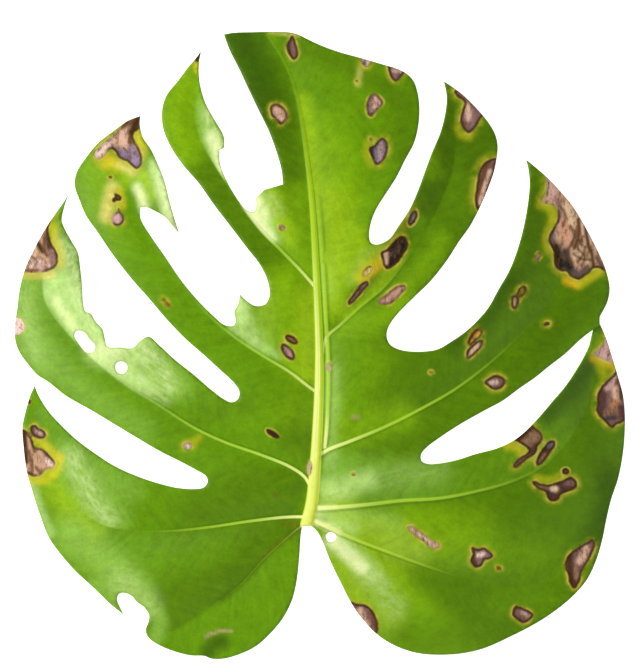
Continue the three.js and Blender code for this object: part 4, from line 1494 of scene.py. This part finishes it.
class Wire:
    """An output of a node in a material, that Python's signs work on by adding Math nodes."""

    def __init__(self, finish, socket):
        self.finish, self.socket = finish, socket

    def math(self, operation, *values):
        return self.finish.node("ShaderNodeMath", {"operation": operation}, dict(enumerate(values)))

    def __add__(self, other):
        return self.math("ADD", self, other)

    def __sub__(self, other):
        return self.math("SUBTRACT", self, other)

    def __rsub__(self, other):
        return self.math("SUBTRACT", other, self)

    def __mul__(self, other):
        return self.math("MULTIPLY", self, other)

    def __truediv__(self, other):
        return self.math("DIVIDE", self, other)

    def __neg__(self):
        return self.math("MULTIPLY", self, -1)

    def __abs__(self):
        return self.math("ABSOLUTE", self)

    __radd__ = __add__
    __rmul__ = __mul__

    def step(self, low, high):
        """0 at low, 1 at high, and a soft step between."""
        return self.finish.node(
            "ShaderNodeMapRange", {"interpolation_type": "SMOOTHSTEP"}, {0: self, 1: low, 2: high, 3: 0, 4: 1}
        )

    def hump(self, middle, half):
        """1 at middle, falling softly to 0 at half a width away."""
        return 1 - abs(self - middle).step(0, half)


class Finish:
    """A material that is built up node by node round one Principled shader."""

    def __init__(self, name):
        self.material = bpy.data.materials.new(name)
        self.material.use_nodes = True
        self.nodes, self.links = self.material.node_tree.nodes, self.material.node_tree.links
        self.shader = self.nodes["Principled BSDF"]

    def node(self, kind, settings, sockets, output=0):
        """Adds a node: its settings first, then the values or wires of its sockets, by number or name."""
        made = self.nodes.new(kind)
        for name, value in settings.items():
            setattr(made, name, value)
        for key, value in sockets.items():
            self.feed(made.inputs[key], value)
        return Wire(self, made.outputs[output])

    def feed(self, socket, value):
        if isinstance(value, Wire):
            self.links.new(value.socket, socket)
        else:
            socket.default_value = value

    def set(self, **values):
        for name, value in values.items():
            self.feed(self.shader.inputs[name.replace("_", " ")], value)

    def place(self):
        return self.node("ShaderNodeTexCoord", {}, {}, output="Object")

    def attribute(self, name, output="Fac"):
        return self.node("ShaderNodeAttribute", {"attribute_name": name}, {}, output=output)

    def mix(self, share, start, end):
        """A colour part of the way from start to end."""
        return self.node("ShaderNodeMix", {"data_type": "RGBA"}, {0: share, 6: start, 7: end}, output=2)

    def scaled(self, colour, amount):
        """A colour made lighter or darker."""
        return self.node("ShaderNodeVectorMath", {"operation": "SCALE"}, {0: colour, "Scale": amount})

    def stretched(self, vector, x, y, z):
        """A vector with each of its parts multiplied."""
        return self.node("ShaderNodeVectorMath", {"operation": "MULTIPLY"}, {0: vector, 1: (x, y, z)})

    def noise(self, vector, scale, detail, roughness):
        sockets = {"Vector": vector, "Scale": scale, "Detail": detail, "Roughness": roughness}
        return self.node("ShaderNodeTexNoise", {}, sockets)

    def relief(self, height, strength, distance):
        """Fine relief that only turns the light."""
        sockets = {"Height": height, "Strength": strength, "Distance": distance}
        return self.node("ShaderNodeBump", {}, sockets, output="Normal")


def shade(name):
    """A named colour for a socket."""
    return (*tone(name), 1)


def grain_streak(finish, along, across, detail, roughness):
    """Streaks that lean out from the veins, above and below 0, where one vein is clearly the nearest."""
    grain = finish.stretched(finish.attribute("grain", "Vector"), along, across, 1)
    return (finish.noise(grain, 1.0, detail, roughness) - 0.5) * finish.attribute("lead")


def green_with_painted_glare(finish, here, blotch, speckle, streak):
    """The greens of the leaf, mottled and streaked, with painted highlights over them where the glossy blade
    catches the light.
    """
    cloud = finish.noise(here, 42, 2, 0.5)
    light = 1 + (blotch - 0.5) * 0.55 + (speckle - 0.5) * 0.3 + streak * 0.4 + (cloud - 0.5) * 0.3
    colour = finish.scaled(finish.attribute("wash", "Color"), light)
    # The painted highlight is broken into streaks and flecks, and is strongest where the sheen reading is
    # high.
    glare_streak = grain_streak(finish, 0.12, 0.42, 4, 0.65) + 0.5
    glare_fleck = finish.noise(here, 300, 4, 0.65)
    glare_share = (glare_streak * 0.6 + glare_fleck * 0.4).step(0.38, 0.62)
    return finish.mix(finish.attribute("sheen") * (glare_share * 0.55 + 0.08), colour, shade("painted_glare"))


def with_side_veins(finish, colour):
    """Adds the pale lines of the side veins, palest at the root, and a painted shadow along one side of each.
    """
    side = finish.attribute("vein_side")
    vein = finish.attribute("vein")
    # Painted shadow of each vein's ridge, on one side of it only.
    vein_shadow = vein.hump(1.6, 1.2) * side.step(0.1, 0.8) * 0.35 * finish.attribute("vein_shadow")
    colour = finish.mix(vein_shadow, colour, shade("night_green"))
    root = finish.attribute("vein_root")
    line = (1 - vein.step(0.5, 1.2)) * finish.attribute("line")
    line_tone = finish.mix(root, shade("vein_green"), shade("vein_cream"))
    return finish.mix(line * (0.72 + root * 0.22), colour, line_tone)


def with_midrib(finish, colour):
    """Adds the midrib, yellow at its root and lime beyond, with a painted glint, painted shade on its right
    and a painted shadow beside it.
    """
    midrib = finish.attribute("midrib")
    right = finish.attribute("midrib_side").step(0, 0.9)
    left = (-finish.attribute("midrib_side")).step(0, 0.9)
    along = finish.attribute("midrib_share")
    outward = along.step(0.05, 0.45)
    body = finish.mix(outward, shade("vein_yellow"), shade("vein_lime"))
    # A painted highlight down the midrib's left side and middle, where the raised rib faces the lamp.
    glint = left * (1 - abs(midrib - 0.45).step(0.2, 0.6)) + (1 - left) * (1 - midrib.step(0, 0.3))
    glint = glint * (1 - along.step(0.32, 0.6)) * (0.45 + along.step(0.06, 0.22) * 0.45)
    body = finish.mix(glint, body, shade("vein_cream"))
    # Painted shade on the midrib's right side, which faces away from the lamp.
    shaded_side = midrib.hump(0.7, 0.4) * right * (0.35 + outward * 0.1)
    body = finish.mix(shaded_side, body, shade("bright_green"))
    # A painted shadow on the blade beside the midrib, on its right.
    beside = midrib.hump(1.2, 0.35) * right * 0.45 * along.step(0.06, 0.16) * (1 - along.step(0.6, 1))
    colour = finish.mix(beside, colour, shade("shade_green"))
    return finish.mix((1 - midrib.step(0.85, 1.1)) * (1 - along.step(0.55, 0.9) * 0.9), colour, body)


def with_halos(finish, colour, spot, ragged, patchy):
    """Adds the yellow halo and the straw line round each dry spot, and the paler margin of the leaf."""
    reach = spot / finish.attribute("halo") + ragged * 1.2
    glow = (1 - reach.step(0.1, 1.8)) * patchy.step(0.25, 0.6) * 0.7
    colour = finish.mix(glow, colour, shade("old_gold"))
    thin = (spot + ragged * 0.8).hump(0.7, 0.8) * patchy.step(0.4, 0.7) * 0.4
    colour = finish.mix(thin, colour, shade("straw"))
    margin = 1 - finish.attribute("edge").step(0.1, 0.8)
    return finish.mix(margin * 0.3, colour, shade("sap_green"))


def dead_tissue(finish, here, spot, ragged, patchy, wrinkle):
    """The inside of the dry spots: wrinkled and mottled, with brown cracks and a dark rim."""
    grit = finish.noise(here, 1300, 3, 0.7)
    mottle = finish.noise(here, 360, 3, 0.6)
    wear = 0.05 + wrinkle + grit * 0.3 + mottle * 0.6
    dead = finish.scaled(finish.attribute("spot_tone", "Color"), wear)
    crack = wrinkle.step(0.48, 0.37) * 0.6 + mottle.step(0.45, 0.3) * 0.4
    dead = finish.mix(crack, dead, shade("brown"))
    rim = (spot + ragged * 1.5).hump(-0.4, 1.35) * finish.attribute("rim")
    return finish.mix(rim * (0.6 + patchy * 0.6), dead, shade("dark_brown"))


def leaf_top():
    """Waxy green with painted highlights and shade, pale veins, yellow halos and dry brown spots."""
    finish = Finish("leaf_top")
    here = finish.place()
    blotch = finish.noise(here, 230, 3, 0.6)
    speckle = finish.noise(here, 800, 2, 0.6)
    streak = grain_streak(finish, 0.32, 0.05, 3, 0.6)
    spot = finish.attribute("spot")
    ragged = finish.noise(here, 400, 4, 0.65) - 0.5
    patchy = finish.noise(here, 190, 2, 0.5)
    wrinkle = finish.noise(finish.stretched(here, 1.0, 0.34, 1), 620, 4, 0.7)

    colour = green_with_painted_glare(finish, here, blotch, speckle, streak)
    colour = with_side_veins(finish, colour)
    colour = with_midrib(finish, colour)
    colour = with_halos(finish, colour, spot, ragged, patchy)
    inside = 1 - (spot + ragged * 1.3).step(-0.15, 0.15)
    colour = finish.mix(inside, colour, dead_tissue(finish, here, spot, ragged, patchy, wrinkle))
    outer = (spot + ragged * 0.9).hump(0.1, 0.55) * finish.attribute("rim") * 0.7
    colour = finish.mix(outer, colour, shade("brown"))

    rough = 0.42 + inside * 0.3 + (blotch - 0.5) * 0.12
    height = streak * 0.3 + (blotch - 0.5) * 0.45 + (wrinkle - 0.5) * inside * 1.8 + (speckle - 0.5) * 0.15
    normal = finish.relief(height, 0.5, 0.0006)
    finish.set(Base_Color=colour, Roughness=rough, Normal=normal, Specular_IOR_Level=0.13, IOR=1.45)
    return finish.material


def leaf_under():
    """The paler, duller lower face, with the same veins and spots showing through."""
    finish = Finish("leaf_under")
    mottle = finish.noise(finish.place(), 160, 4, 0.6)
    colour = finish.mix(0.5, finish.attribute("wash", "Color"), shade("sage"))
    colour = finish.scaled(colour, 0.8 + mottle * 0.4)
    spot = finish.attribute("spot")
    colour = finish.mix((1 - spot.step(0.2, 2.0)) * 0.8, colour, shade("yellow"))
    line = (1 - finish.attribute("vein").step(0.8, 1.9)) * (0.3 + finish.attribute("line") * 0.6)
    colour = finish.mix(line, colour, shade("vein_green"))
    band = 1 - finish.attribute("midrib").step(0.8, 1.3)
    colour = finish.mix(band, colour, shade("vein_yellow"))
    dead = finish.scaled(finish.attribute("spot_tone", "Color"), 0.5 + mottle * 0.7)
    colour = finish.mix(1 - spot.step(-0.3, 0.2), colour, dead)
    normal = finish.relief(mottle, 0.4, 0.0005)
    finish.set(Base_Color=colour, Roughness=0.6, Normal=normal, Specular_IOR_Level=0.3)
    return finish.material


def build_floor():
    """A plain white sweep, softly lit from within like a light table."""
    bpy.ops.mesh.primitive_plane_add(size=FLOOR_SIZE, location=(0, 0, 0))
    floor = bpy.context.object
    floor.name = "floor"
    finish = Finish("floor")
    finish.set(Base_Color=(0.8, 0.8, 0.8, 1), Roughness=0.9, Specular_IOR_Level=0.0)
    finish.set(Emission_Color=(1, 1, 1, 1), Emission_Strength=FLOOR_GLOW)
    floor.data.materials.append(finish.material)


def build_light():
    """Soft lamps aimed at the leaf, and an even glow all round."""
    for name, light in LIGHTS.items():
        bpy.ops.object.light_add(type="AREA", location=light["at"])
        lamp = bpy.context.object
        lamp.name = name
        lamp.data.size = light["size"]
        lamp.data.energy = light["power"]
        lamp.rotation_euler = (-Vector(light["at"])).to_track_quat("-Z", "Y").to_euler()
    world = bpy.data.worlds.new("studio")
    world.use_nodes = True
    world.node_tree.nodes["Background"].inputs["Color"].default_value = (1, 1, 1, 1)
    world.node_tree.nodes["Background"].inputs["Strength"].default_value = WORLD_LIGHT
    bpy.context.scene.world = world
    bpy.context.scene.view_settings.view_transform = "Standard"


def build_camera():
    """Straight down, far away, with a long lens that frames the photograph's height."""
    x, y = place([PHOTO_MIDDLE])[0] * METRES
    bpy.ops.object.camera_add(location=(x, y, CAMERA_AIM_HEIGHT + CAMERA_DISTANCE), rotation=(0, 0, 0))
    camera = bpy.context.object
    camera.data.sensor_width = SENSOR
    camera.data.lens = SENSOR * CAMERA_DISTANCE / (PHOTO_HEIGHT * MM_PER_PIXEL * METRES)
    camera.data.clip_end = CAMERA_CLIP
    bpy.context.scene.camera = camera


bpy.ops.object.select_all(action="DESELECT")
blade = build_leaf()
blade.data.materials.append(leaf_top())
blade.data.materials.append(leaf_under())
blade.data.shade_smooth()
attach(blade, "root")
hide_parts("leaf")

build_floor()
build_light()
build_camera()
